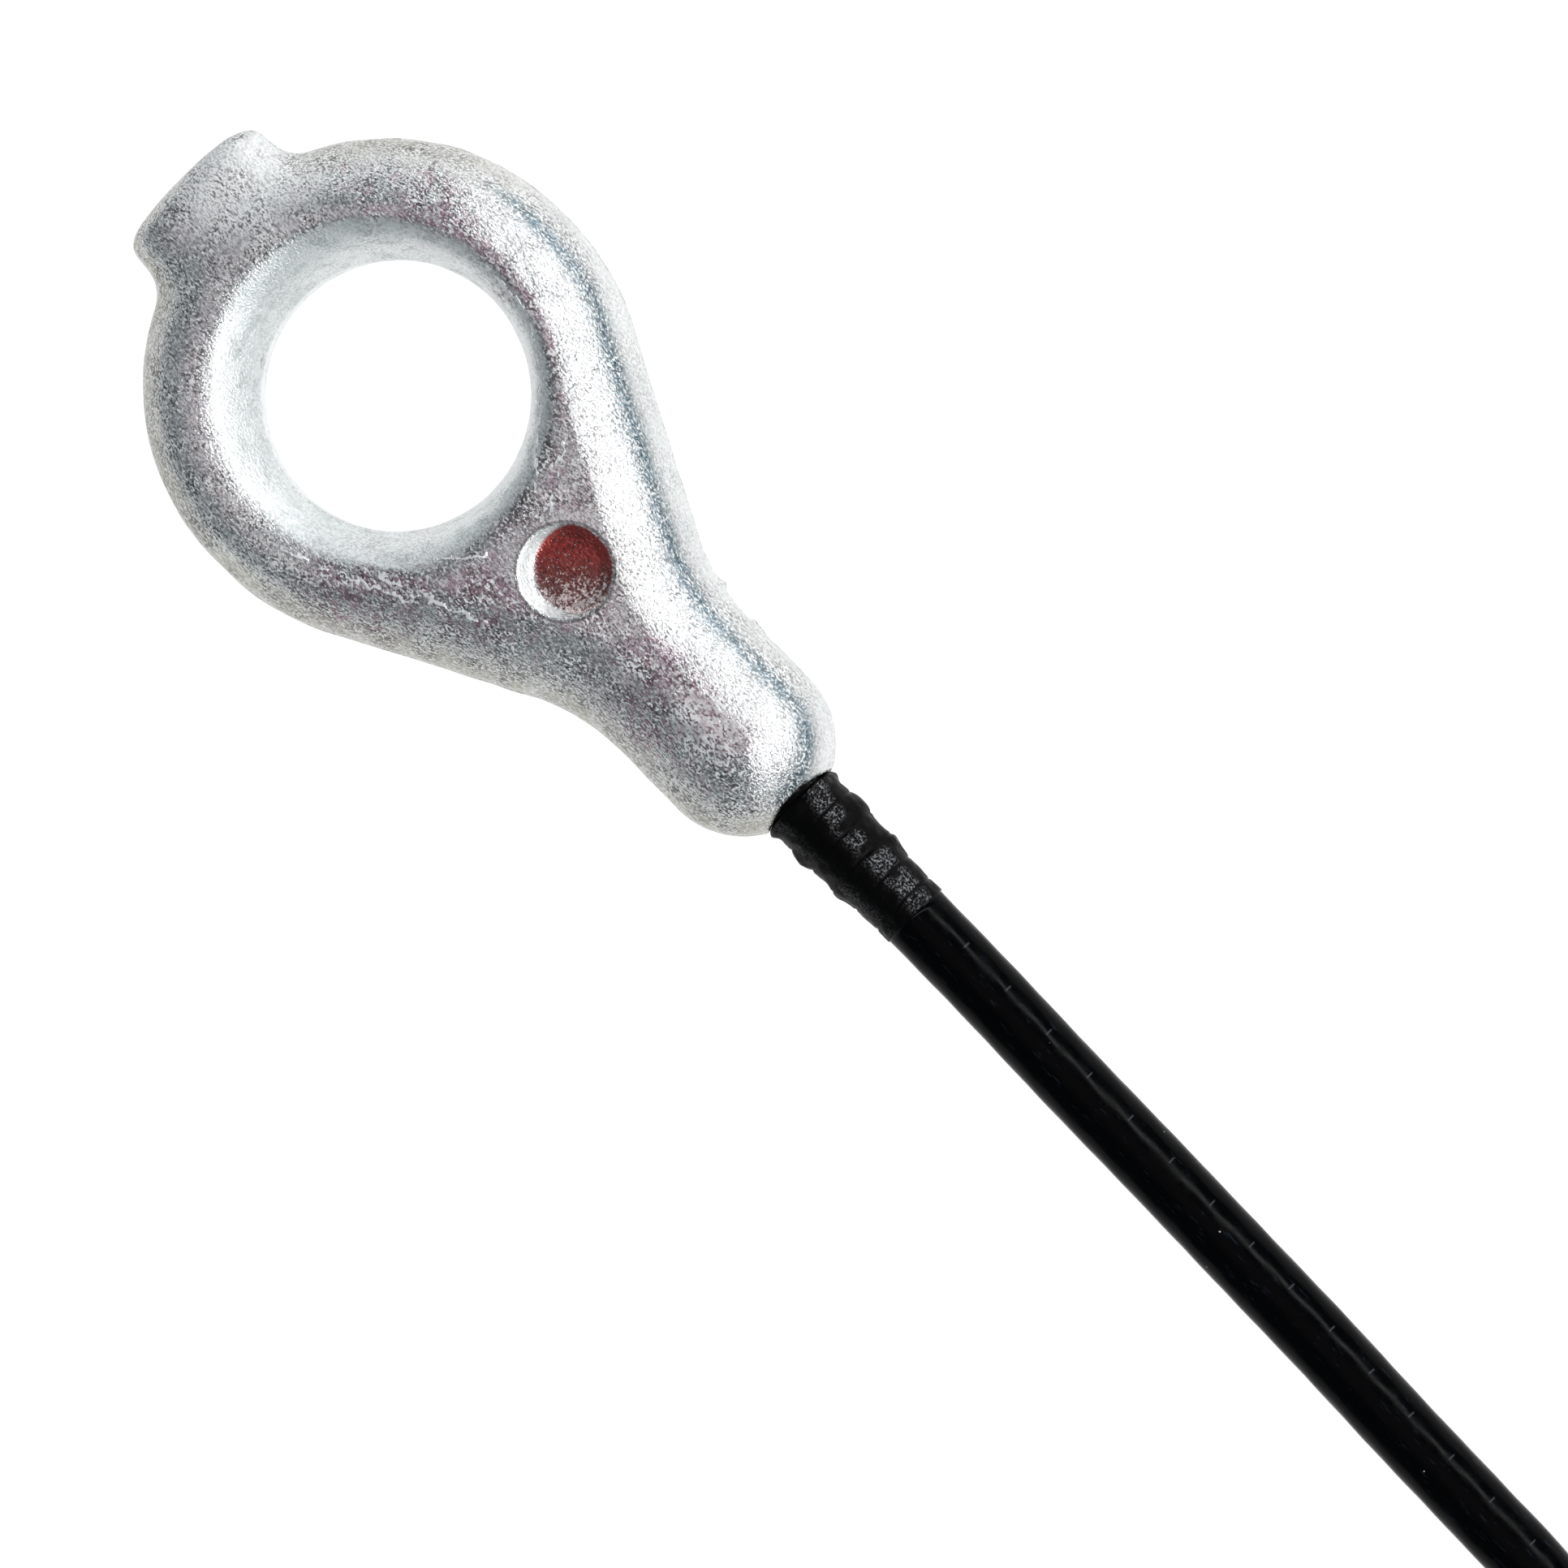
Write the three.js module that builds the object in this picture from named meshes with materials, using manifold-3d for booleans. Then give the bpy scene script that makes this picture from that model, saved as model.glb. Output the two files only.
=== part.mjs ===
// A die-cast eye fitting on a black coated wire rope, with the rest of the rope tied in a hank
// and a second, equal eye on its far end. Millimetres, +Z up, the fitting lying flat on z = 0,
// its bore upright and its rope leaving along +X.
import * as THREE from 'three';
import { mergeVertices } from 'three/addons/utils/BufferGeometryUtils.js';
import Module from 'manifold-3d';

const wasm = await Module();
wasm.setup();

// ---- Driving dimensions -------------------------------------------------------------------
const THICKNESS = 10.4; // of the cast eye, face to face
const RING_RADIUS = 16.4;
const RING_STRETCH = 1.1; // extra length of the ring away from the rope
const BORE_RADIUS = 9.1; // at its narrowest, half way up
const BORE_FLARE = 2.5; // rounding of the bore's edges, seen from above
const BORE_FLARE_DEPTH = 2.3;
const WEB_HALF_ANGLE = THREE.MathUtils.degToRad(27.5); // of the V between ring and neck
const NECK_HALF = 6.1;
const NECK_END = 39; // from the bore's axis to the rounded end of the neck
const WEB_FILLET = 5; // where the V runs into the neck
const EDGE_ROUND = 4.2; // rounding of the outside, seen from above
const EDGE_ROUND_DEPTH = 4.7;

const STUB_HALF = 5.8; // the broken-off gate, opposite the rope
const STUB_END = -20.8;
const STUB_ROUND = 2.4;
const STUB_THICKNESS = 8.6;

const MARK_X = 16.8; // round pin mark in the web
const MARK_RADIUS = 3.2;
const MARK_DEPTH = 1.1;

const CABLE_RADIUS = 2.4; // over the black sheath
const STRAND_RADIUS = 0.45;
const STRAND_PITCH_RADIUS = 1.07; // of the six strands round the core strand
const STRAND_LAY = 23;
const STRANDS = 6;
const ROPE_START = 13.5; // bared rope end inside the ferrule
const FERRULE = { start: 13.2, end: 19.8, inner: 1.75, outer: 2.55 };

const COLLAR_GRIP = 2.2; // how far the sheath reaches into the neck
const COLLAR_LENGTH = 9.8; // how far the gripped sheath shows outside it
const COLLAR_END = NECK_END + COLLAR_LENGTH;
const SHEATH_INNER = 1.75;
const GAP = 0.3; // between pieces that touch

// ---- The hank and the cable's route --------------------------------------------------------
const TURN_PITCH = 4.9;
const COLUMNS = 4; // turns side by side
const LAYERS = 2; // turns on each other
const INNER_TURN = 14.5; // end radius of the innermost turn
const TIE_THICKNESS = 1.2;
const TIE_WIDTH = 4.6;
const HANK_NEAR = new THREE.Vector2(128.3, 14.7); // centre of the near end's turns
const HANK_STRAIGHT = 44; // between the two end centres
const HANK_LIFT = TIE_THICKNESS + GAP; // the hank stands on its ties
const HANK_HEIGHT = LAYERS * TURN_PITCH;
const HANK_TOP = HANK_LIFT + HANK_HEIGHT;
const HANK_INSIDE = INNER_TURN - TURN_PITCH / 2;
const HANK_OUTSIDE = HANK_INSIDE + COLUMNS * TURN_PITCH;

// The origin stands under the middle of the near fitting, gate stub to collar.
const BORE_X = -(COLLAR_END + STUB_END) / 2;
const MID_HEIGHT = THICKNESS / 2;
const FAR_BORE = new THREE.Vector3(
  HANK_NEAR.x + HANK_STRAIGHT - 2 - COLLAR_END,
  HANK_NEAR.y + 6,
  HANK_TOP + TIE_THICKNESS + 2 * GAP + MID_HEIGHT,
);

// From the near collar: straight out, down to the surface, and in a long S to the hank.
const LEAD_ROUTE = [
  [35.1, 0, 5.2],
  [42, -0.1, 5.15],
  [50, -0.35, 4.7],
  [58, -0.55, 3.9],
  [66, -0.8, 3],
  [74, -1, 2.55],
  [82, -1.3, 2.45],
  [90, -1.5, 2.45],
  [96, -1.75, 2.55],
  [101.9, -3.1, 3.1],
  [105.7, -4.9, 3.6],
];

// Out of the hank's outermost upper place, up over its far end and round into the far eye.
const TAIL_ROUTE = [
  [150.3, -14.5, 8.9],
  [158, -14.5, 9.2],
  [165, -14.45, 10],
  [172.3, -14.2, 11.3],
  [179, -12.7, 12.8],
  [184.7, -9.1, 14.2],
  [188.6, -3.6, 15.6],
  [189.8, 3.1, 16.8],
  [188.3, 9.8, 17.7],
  [184.2, 15.7, 18.15],
  [178.8, 19.3, 18.3],
  [174.5, 20.5, 18.3],
  [170.6, 20.7, 18.3],
];

// ---- Finishes -------------------------------------------------------------------------------
const finish = (color, roughness, metalness) =>
  new THREE.MeshStandardMaterial({ color, roughness, metalness });
const ZINC = finish(0xb9bcc0, 0.35, 1);
const COPPER = finish(0xa05a3c, 0.4, 1);
const STEEL = finish(0x8d9094, 0.4, 1);
const COLLAR_BLACK = finish(0x17181a, 0.7, 0);
const SHEATH_BLACK = finish(0x090a0c, 0.25, 0);
const TIE_BLACK = finish(0x1b1b1d, 0.5, 0);

// ---- Helpers ----------------------------------------------------------------------------------

// Bare positions with shared vertices merged and flat triangles dropped.
function welded(geometry) {
  const bare = geometry.clone();
  bare.deleteAttribute('normal');
  bare.deleteAttribute('uv');
  const merged = mergeVertices(bare, 1e-4);
  const corners = merged.index.array;
  const kept = [];
  for (let i = 0; i < corners.length; i += 3) {
    const [a, b, c] = [corners[i], corners[i + 1], corners[i + 2]];
    if (a !== b && b !== c && c !== a) kept.push(a, b, c);
  }
  merged.setIndex(kept);
  return merged;
}

function solid(geometry) {
  const mesh = welded(geometry);
  return new wasm.Manifold(new wasm.Mesh({
    numProp: 3,
    vertProperties: new Float32Array(mesh.attributes.position.array),
    triVerts: new Uint32Array(mesh.index.array),
  }));
}

function geometryOf(manifold) {
  const { vertProperties, triVerts } = manifold.getMesh();
  const geometry = new THREE.BufferGeometry();
  geometry.setAttribute('position', new THREE.BufferAttribute(vertProperties, 3));
  geometry.setIndex(new THREE.BufferAttribute(triVerts, 1));
  geometry.computeVertexNormals();
  return geometry;
}

function named(name, geometry, material) {
  const mesh = new THREE.Mesh(geometry, material);
  mesh.name = name;
  return mesh;
}

// Profile points (x along the fitting's axis, radius) turned round the X axis.
function turned(profile, segments) {
  const points = profile.map(([x, radius]) => new THREE.Vector2(radius, x));
  return new THREE.LatheGeometry(points, segments).rotateZ(-Math.PI / 2);
}

const rod = (start, end, radius) =>
  turned([[start, 0], [start, radius], [end, radius], [end, 0]], 8);

const sleeve = ({ start, end, inner, outer }) =>
  turned([[start, inner], [start, outer], [end, outer], [end, inner], [start, inner]], 20);

function roundSection(radius, sides) {
  const corners = Array.from({ length: sides }, (_, i) => {
    const angle = (2 * Math.PI * (i + 0.5)) / sides;
    return new THREE.Vector2(radius * Math.cos(angle), radius * Math.sin(angle));
  });
  return new THREE.Shape(corners);
}

function sweptAlong(curve, radius, sides, steps) {
  const section = roundSection(radius, sides);
  return new THREE.ExtrudeGeometry(section, { extrudePath: curve, steps });
}

// A shape with rounded faces, extruded so that it lies centred on z = 0.
function roundedPlate(shape, thickness, round, depth, bevelSegments, curveSegments) {
  return new THREE.ExtrudeGeometry(shape, {
    depth: thickness - 2 * depth,
    bevelEnabled: true,
    bevelThickness: depth,
    bevelSize: round,
    bevelOffset: -round,
    bevelSegments,
    curveSegments,
  }).translate(0, 0, depth - thickness / 2);
}

// ---- The cast eye (bore's axis on the origin, half way up at z = 0) ----------------------------

// Ring, V, neck and rounded end as one outline, with a fillet where the V meets the neck.
function eyeOutline() {
  const tangent = Math.PI / 2 - WEB_HALF_ANGLE; // where the V's flank leaves the ring
  const reach = RING_RADIUS / Math.cos(WEB_HALF_ANGLE);
  const cornerX = (reach - NECK_HALF) / Math.tan(WEB_HALF_ANGLE);
  const cut = WEB_FILLET * Math.tan(WEB_HALF_ANGLE / 2);
  const flankX = cornerX - cut * Math.cos(WEB_HALF_ANGLE);
  const flankY = NECK_HALF + cut * Math.sin(WEB_HALF_ANGLE);
  const endX = NECK_END - NECK_HALF;
  const shape = new THREE.Shape();
  shape.moveTo(-RING_STRETCH, -RING_RADIUS);
  shape.absarc(0, 0, RING_RADIUS, -Math.PI / 2, -tangent, false);
  shape.lineTo(flankX, -flankY);
  shape.quadraticCurveTo(cornerX, -NECK_HALF, cornerX + cut, -NECK_HALF);
  shape.absarc(endX, 0, NECK_HALF, -Math.PI / 2, Math.PI / 2, false);
  shape.lineTo(cornerX + cut, NECK_HALF);
  shape.quadraticCurveTo(cornerX, NECK_HALF, flankX, flankY);
  shape.absarc(0, 0, RING_RADIUS, tangent, Math.PI / 2, false);
  shape.absarc(-RING_STRETCH, 0, RING_RADIUS, Math.PI / 2, (3 * Math.PI) / 2, false);
  return shape;
}

function stubOutline() {
  const root = -12; // buried in the ring
  const corner = STUB_END + STUB_ROUND;
  const bow = 0.5; // of the end face
  const shape = new THREE.Shape();
  shape.moveTo(root, STUB_HALF);
  shape.lineTo(corner, STUB_HALF);
  shape.quadraticCurveTo(STUB_END + bow, STUB_HALF, STUB_END + bow, STUB_HALF - STUB_ROUND);
  shape.lineTo(STUB_END, 0);
  shape.lineTo(STUB_END + bow, STUB_ROUND - STUB_HALF);
  shape.quadraticCurveTo(STUB_END + bow, -STUB_HALF, corner, -STUB_HALF);
  shape.lineTo(root, -STUB_HALF);
  return shape;
}

// The bore as a cutter: narrowest half way up, flaring out to both faces.
function boreCutter() {
  const half = THICKNESS / 2;
  const steps = 3;
  const flare = [];
  for (let i = 0; i <= steps; i++) {
    const angle = (i * Math.PI) / 2 / steps;
    flare.push(new THREE.Vector2(
      BORE_RADIUS + BORE_FLARE * (1 - Math.cos(angle)),
      half - BORE_FLARE_DEPTH * (1 - Math.sin(angle)),
    ));
  }
  const top = [...flare, new THREE.Vector2(BORE_RADIUS + BORE_FLARE, half + 1)];
  const mirrored = top.map((p) => new THREE.Vector2(p.x, -p.y)).reverse();
  const axis = (y) => new THREE.Vector2(0, y);
  const profile = [axis(-half - 1), ...mirrored, ...top, axis(half + 1)];
  return new THREE.LatheGeometry(profile, 40).rotateX(Math.PI / 2);
}

function markCutter(side) {
  const cutter = new THREE.CylinderGeometry(MARK_RADIUS, MARK_RADIUS - 0.3, 2 * MARK_DEPTH, 24);
  return cutter.rotateX((side * Math.PI) / 2).translate(MARK_X, 0, (side * THICKNESS) / 2);
}

// The space that the buried pieces fill, open at the neck's end.
function ropeCavity() {
  const { start, end, outer } = FERRULE;
  const ropeRoom = STRAND_PITCH_RADIUS + STRAND_RADIUS + GAP;
  const sheathRoom = CABLE_RADIUS + 2 * GAP;
  const grip = NECK_END - COLLAR_GRIP - GAP;
  return turned([
    [start - GAP, 0],
    [start - GAP, outer + GAP],
    [end + GAP, outer + GAP],
    [end + GAP, ropeRoom],
    [grip, ropeRoom],
    [grip, sheathRoom],
    [NECK_END + 2, sheathRoom],
    [NECK_END + 2, 0],
  ], 20);
}

function castEye() {
  const body = roundedPlate(eyeOutline(), THICKNESS, EDGE_ROUND, EDGE_ROUND_DEPTH, 3, 6);
  const stub = roundedPlate(stubOutline(), STUB_THICKNESS, 1.4, 2.2, 3, 3);
  return geometryOf(
    solid(body)
      .add(solid(stub))
      .subtract(solid(boreCutter()))
      .subtract(solid(markCutter(1)))
      .subtract(solid(ropeCavity())),
  );
}

// ---- Pieces inside and behind the casting --------------------------------------------------------

class LaidStrand extends THREE.Curve {
  constructor(turn) {
    super();
    this.turn = turn;
  }

  getPoint(t, target = new THREE.Vector3()) {
    const along = (COLLAR_END - GAP - ROPE_START) * t;
    const angle = this.turn + (2 * Math.PI * along) / STRAND_LAY;
    return target.set(
      ROPE_START + along,
      STRAND_PITCH_RADIUS * Math.cos(angle),
      STRAND_PITCH_RADIUS * Math.sin(angle),
    );
  }
}

function ropeEnd(prefix) {
  const straight = rod(ROPE_START, COLLAR_END - GAP, STRAND_RADIUS);
  const core = named(`${prefix}rope_core_strand`, straight, STEEL);
  const laid = Array.from({ length: STRANDS }, (_, i) => {
    const curve = new LaidStrand((2 * Math.PI * i) / STRANDS);
    return named(`${prefix}rope_strand_${i + 1}`, sweptAlong(curve, STRAND_RADIUS, 6, 18), STEEL);
  });
  return [core, ...laid];
}

// The sheath that the die gripped: a little swollen at the casting, ribbed, then at full size.
function sheathCollar() {
  const start = NECK_END - COLLAR_GRIP;
  return turned([
    [start, SHEATH_INNER],
    [start, CABLE_RADIUS + 0.3],
    [NECK_END + 0.1, CABLE_RADIUS + 0.3],
    [NECK_END + 0.4, CABLE_RADIUS + 0.6],
    [COLLAR_END - 8, CABLE_RADIUS + 0.5],
    [COLLAR_END - 6.4, CABLE_RADIUS + 0.25],
    [COLLAR_END - 5, CABLE_RADIUS + 0.45],
    [COLLAR_END - 3.4, CABLE_RADIUS + 0.15],
    [COLLAR_END, CABLE_RADIUS + 0.1],
    [COLLAR_END, SHEATH_INNER],
    [start, SHEATH_INNER],
  ], 20);
}

function eyeEnd(prefix) {
  const group = new THREE.Group();
  group.add(
    named(`${prefix}eye_casting`, castEye(), ZINC),
    named(`${prefix}anchor_ferrule`, sleeve(FERRULE), COPPER),
    named(`${prefix}sheath_collar`, sheathCollar(), COLLAR_BLACK),
    ...ropeEnd(prefix),
  );
  return group;
}

// ---- The cable and its hank -----------------------------------------------------------------------

// A racetrack round both end centres of the hank, at the given distance from them.
function racetrack(radius, path) {
  const { x, y } = HANK_NEAR;
  path.moveTo(x, y - radius);
  path.lineTo(x + HANK_STRAIGHT, y - radius);
  path.absarc(x + HANK_STRAIGHT, y, radius, -Math.PI / 2, Math.PI / 2, false);
  path.lineTo(x, y + radius);
  path.absarc(x, y, radius, Math.PI / 2, (3 * Math.PI) / 2, false);
  return path;
}

// The outer shape of all its turns together, grown by a margin.
function hank(margin = 0) {
  const shape = racetrack(HANK_OUTSIDE + margin, new THREE.Shape());
  shape.holes.push(racetrack(HANK_INSIDE - margin, new THREE.Path()));
  const round = 1.5;
  return new THREE.ExtrudeGeometry(shape, {
    depth: HANK_HEIGHT + 2 * margin - 2 * round,
    bevelThickness: round,
    bevelSize: round,
    bevelOffset: -round,
    bevelSegments: 2,
    curveSegments: 12,
  }).translate(0, 0, HANK_LIFT - margin + round);
}

function cable(route, steps) {
  const points = route.map((p) => new THREE.Vector3(...p));
  const curve = new THREE.CatmullRomCurve3(points, false, 'centripetal');
  const swept = solid(sweptAlong(curve, CABLE_RADIUS, 10, steps));
  return geometryOf(swept.subtract(solid(hank(GAP))));
}

// A cable tie round one straight run: a band with its square head on the hank's inner side.
function tie(x, side) {
  const middle = (HANK_INSIDE + HANK_OUTSIDE) / 2;
  const halfWide = (HANK_OUTSIDE - HANK_INSIDE) / 2 + GAP;
  const halfHigh = HANK_HEIGHT / 2 + GAP;
  const band = roundedFrame(halfWide + TIE_THICKNESS, halfHigh + TIE_THICKNESS, 2);
  band.holes.push(roundedFrame(halfWide, halfHigh, 1));
  const across = { depth: TIE_WIDTH, bevelEnabled: false, curveSegments: 3 };
  const strap = new THREE.ExtrudeGeometry(band, across).translate(0, 0, -TIE_WIDTH / 2);
  const head = new THREE.BoxGeometry(4, 5.4, 6.6).translate(-side * (halfWide + 2.6), 0, 0);
  const placed = geometryOf(solid(strap).add(solid(head)));
  return placed
    .rotateX(Math.PI / 2)
    .rotateZ(Math.PI / 2)
    .translate(x, HANK_NEAR.y + side * middle, HANK_LIFT + HANK_HEIGHT / 2);
}

function roundedFrame(halfX, halfY, radius) {
  const shape = new THREE.Shape();
  shape.absarc(halfX - radius, halfY - radius, radius, 0, Math.PI / 2, false);
  shape.absarc(radius - halfX, halfY - radius, radius, Math.PI / 2, Math.PI, false);
  shape.absarc(radius - halfX, radius - halfY, radius, Math.PI, 1.5 * Math.PI, false);
  shape.absarc(halfX - radius, radius - halfY, radius, 1.5 * Math.PI, 2 * Math.PI, false);
  return shape;
}

// ---- Assembly ------------------------------------------------------------------------------------

const near = eyeEnd('');
near.position.set(BORE_X, 0, MID_HEIGHT);
const far = eyeEnd('far_');
far.position.copy(FAR_BORE);

const assembly = new THREE.Group();
assembly.add(
  near,
  far,
  named('cable_lead', cable(LEAD_ROUTE, 14), SHEATH_BLACK),
  named('cable_hank', hank(), SHEATH_BLACK),
  named('cable_tail', cable(TAIL_ROUTE, 24), SHEATH_BLACK),
  named('hank_tie_1', tie(150.3, -1), TIE_BLACK),
  named('hank_tie_2', tie(133, 1), TIE_BLACK),
);

export default assembly;
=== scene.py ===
"""A die-cast zinc eye on a black coated wire rope, seen from above on a white table.

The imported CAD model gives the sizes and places. This script adds the fine surfaces: the two
castings, the gripped sheath, the coated rope with its hank and ties, and every material.
"""

import math

import bpy
import numpy as np
from mathutils import Matrix, Vector


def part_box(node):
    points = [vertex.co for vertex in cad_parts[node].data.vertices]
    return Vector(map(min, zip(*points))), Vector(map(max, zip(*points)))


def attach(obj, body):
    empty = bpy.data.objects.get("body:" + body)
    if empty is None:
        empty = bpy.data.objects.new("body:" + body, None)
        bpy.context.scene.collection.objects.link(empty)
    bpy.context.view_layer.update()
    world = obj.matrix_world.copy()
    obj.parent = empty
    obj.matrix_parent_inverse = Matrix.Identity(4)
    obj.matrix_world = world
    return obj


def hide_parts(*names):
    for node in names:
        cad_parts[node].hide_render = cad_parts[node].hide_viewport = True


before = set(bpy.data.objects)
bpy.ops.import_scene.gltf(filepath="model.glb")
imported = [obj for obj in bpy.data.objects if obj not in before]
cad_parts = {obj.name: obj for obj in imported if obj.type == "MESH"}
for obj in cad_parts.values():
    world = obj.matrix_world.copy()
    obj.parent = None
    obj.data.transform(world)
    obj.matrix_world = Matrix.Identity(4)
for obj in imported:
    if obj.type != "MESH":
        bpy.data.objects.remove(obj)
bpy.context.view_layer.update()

MM = 0.001
HAIR = 1e-3  # a length in millimetres that is too small to see

# ---- Sizes in millimetres, as in the CAD model ----
THICKNESS = 10.4
RING_RADIUS = 16.4
RING_STRETCH = 1.1
BORE_RADIUS = 9.1
WEB_HALF_ANGLE = math.radians(27.5)
NECK_HALF = 6.1
NECK_END = 39.0
STUB_HALF = 5.8
STUB_HALF_THICKNESS = 4.3
STUB_END = -20.8
STUB_END_ROUND = 2.4
MARK_X = 16.8
MARK_RADIUS = 3.2
CABLE_RADIUS = 2.4
SHEATH_INNER = 1.75
COLLAR_END = 48.8
STRAND_LAY = 23.0
TURN_PITCH = 4.9
INNER_TURN = 14.5
TIE_WIDTH = 4.6

# ---- Sizes in millimetres of the finer surfaces ----
BORE_THROAT = 1.0  # half the height of the bore's narrowest part
BORE_LEAN = (0.20, 0.88)  # how far the wall leans outward per height: where least and where most
BORE_LEAN_TOWARDS = math.radians(235)
BORE_LIP = (1.9, 4.0)  # width of the rounding where the wall meets the faces, likewise
EDGE_ROUND = 5.4  # of the outside, seen from above
EDGE_ROUND_DEPTH = 4.9
EDGE_BULGE = 1.3  # 2 is an ellipse; less falls away sooner from the flat face
WEB_TIP = 1.5  # from the point of the web's V to the centre of its rounding
NECK_START = 12.0
NECK_FILLET = 1.6
STUB_WORN = 0.3  # how far the stub's end stands back from the CAD model's
STUB_CROWN = 0.012  # how far that end curves back, per squared distance from its middle
STUB_ROOT = -8.0
STUB_FILLET = 1.2
MARK_DEPTH = 0.65
MARK_TAPER = 0.8  # how much smaller the mark's floor is, all round
MARK_TILT = (0.05, 0.04)  # rise of that floor along X and along Y
MARK_WALL_SCALE = 0.8  # brings the leaning wall's distance nearer to millimetres
MARK_FLOOR_ROUND = 0.25
MARK_RIM_ROUND = 0.1
STAIN_FROM_MARK = (0.44, 0.79)  # from the mark's middle to its red stain's
LIP_SHADE_TOWARDS = math.radians(28)  # the middle of the stretch of the bore's lip that is darkened with painted shade
TOP_ROOM = 0.05  # how far the casting's unevenness may stand above the CAD model's top
COLLAR_START = 36.9  # inside the casting
COLLAR_SHOWS = 38.3  # where the casting's skin meets it
GRIP_PITCH = 1.95  # from one pressed square to the next
SOCKET_CLEARANCE = 0.3  # between the casting and the start of the collar in it
SOCKET_RIM_ROUND = 0.2
ROPE_HOLE_START = 13.0
FERRULE_HOLE = (16.5, 3.6, 2.85)  # its middle, half its length and its radius
GLINT_HALF_PITCH = 1.95  # half the way from one painted glint on the cable to the next, one strand's pitch
GLINT_ASIDE = 1.25  # how far they lie from the cable's middle line, on its highlight


def box_mm(node):
    low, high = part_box(node)
    return np.array(low) / MM, np.array(high) / MM


def bore_centre(node):
    """The bore's axis half way up, from the casting's box."""
    low, high = box_mm(node)
    return np.array([low[0] - STUB_END, (low[1] + high[1]) / 2, (low[2] + high[2]) / 2])


NEAR_EYE = bore_centre("eye_casting")
FAR_EYE = bore_centre("far_eye_casting")

# ---- Camera ----
VIEW_CENTRE = np.array([22.7, 0.0, 5.2])  # millimetres: what the middle of the picture shows
VIEW_WIDTH = 104.5
CAMERA_DISTANCE = 800.0
CAMERA_LEAN = math.radians(6.0)  # towards the picture's right
SENSOR = 36.0
PICTURE_RIGHT = Vector((1, 1, 0)).normalized()
PICTURE_UP = Vector((-1, 1, 0)).normalized()


def make_camera():
    data = bpy.data.cameras.new("camera")
    data.sensor_width = SENSOR
    data.lens = SENSOR * CAMERA_DISTANCE / VIEW_WIDTH
    data.clip_start, data.clip_end = 0.01, 10
    camera = bpy.data.objects.new("camera", data)
    bpy.context.collection.objects.link(camera)
    up = Vector((0, 0, 1))
    back = math.sin(CAMERA_LEAN) * PICTURE_RIGHT + math.cos(CAMERA_LEAN) * up
    right = math.cos(CAMERA_LEAN) * PICTURE_RIGHT - math.sin(CAMERA_LEAN) * up
    place = Vector(VIEW_CENTRE * MM) + back * CAMERA_DISTANCE * MM
    turn = Matrix((right, PICTURE_UP, back)).transposed().to_4x4()
    camera.matrix_world = Matrix.Translation(place) @ turn
    bpy.context.scene.camera = camera


make_camera()

# ---- Small helpers ----


def add_mesh(name, points_mm, faces, material, attributes=(), smooth=True):
    """A mesh piece from points in millimetres and faces, with per-point attributes."""
    mesh = bpy.data.meshes.new(name)
    mesh.from_pydata((np.asarray(points_mm) * MM).tolist(), [], [list(map(int, f)) for f in faces])
    mesh.update()
    for label, values in attributes:
        values = np.asarray(values, np.float32)
        kind, field = ("FLOAT_VECTOR", "vector") if values.ndim == 2 else ("FLOAT", "value")
        mesh.attributes.new(label, kind, "POINT").data.foreach_set(field, values.ravel())
    mesh.polygons.foreach_set("use_smooth", [smooth] * len(mesh.polygons))
    mesh.materials.append(material)
    piece = bpy.data.objects.new(name, mesh)
    bpy.context.collection.objects.link(piece)
    return piece


def smooth_step(value, low, high):
    t = np.clip((value - low) / (high - low), 0, 1)
    return t * t * (3 - 2 * t)


def lattice(cells, seed):
    """A repeatable random number from -1 to 1 for each whole-number cell."""
    x, y, z = (cells[..., i].astype(np.int64) for i in range(3))
    h = (x * 73856093) ^ (y * 19349663) ^ (z * 83492791) ^ (seed * 2654435761)
    h = (h ^ (h >> 13)) * 1274126177
    h = h ^ (h >> 16)
    return (h & 0xFFFF) / 32767.5 - 1


def noise(points, size, seed):
    """Smooth noise from -1 to 1 with features of about the given size."""
    p = np.asarray(points, float) / size
    cell = np.floor(p)
    t = p - cell
    t = t * t * (3 - 2 * t)
    total = 0
    for corner in np.ndindex(2, 2, 2):
        weight = np.prod(np.where(corner, t, 1 - t), axis=-1)
        total = total + weight * lattice(cell + corner, seed)
    return total


def faces_between(rings, around):
    """Quads between rings of points, each of which ends at its own first point."""
    here = around * np.arange(rings - 1)[:, None]
    ahead = here + around
    point = np.arange(around)[None, :]
    after = (point + 1) % around
    return np.stack([here + point, here + after, ahead + after, ahead + point], -1).reshape(-1, 4)


# ---- Materials ----


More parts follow.
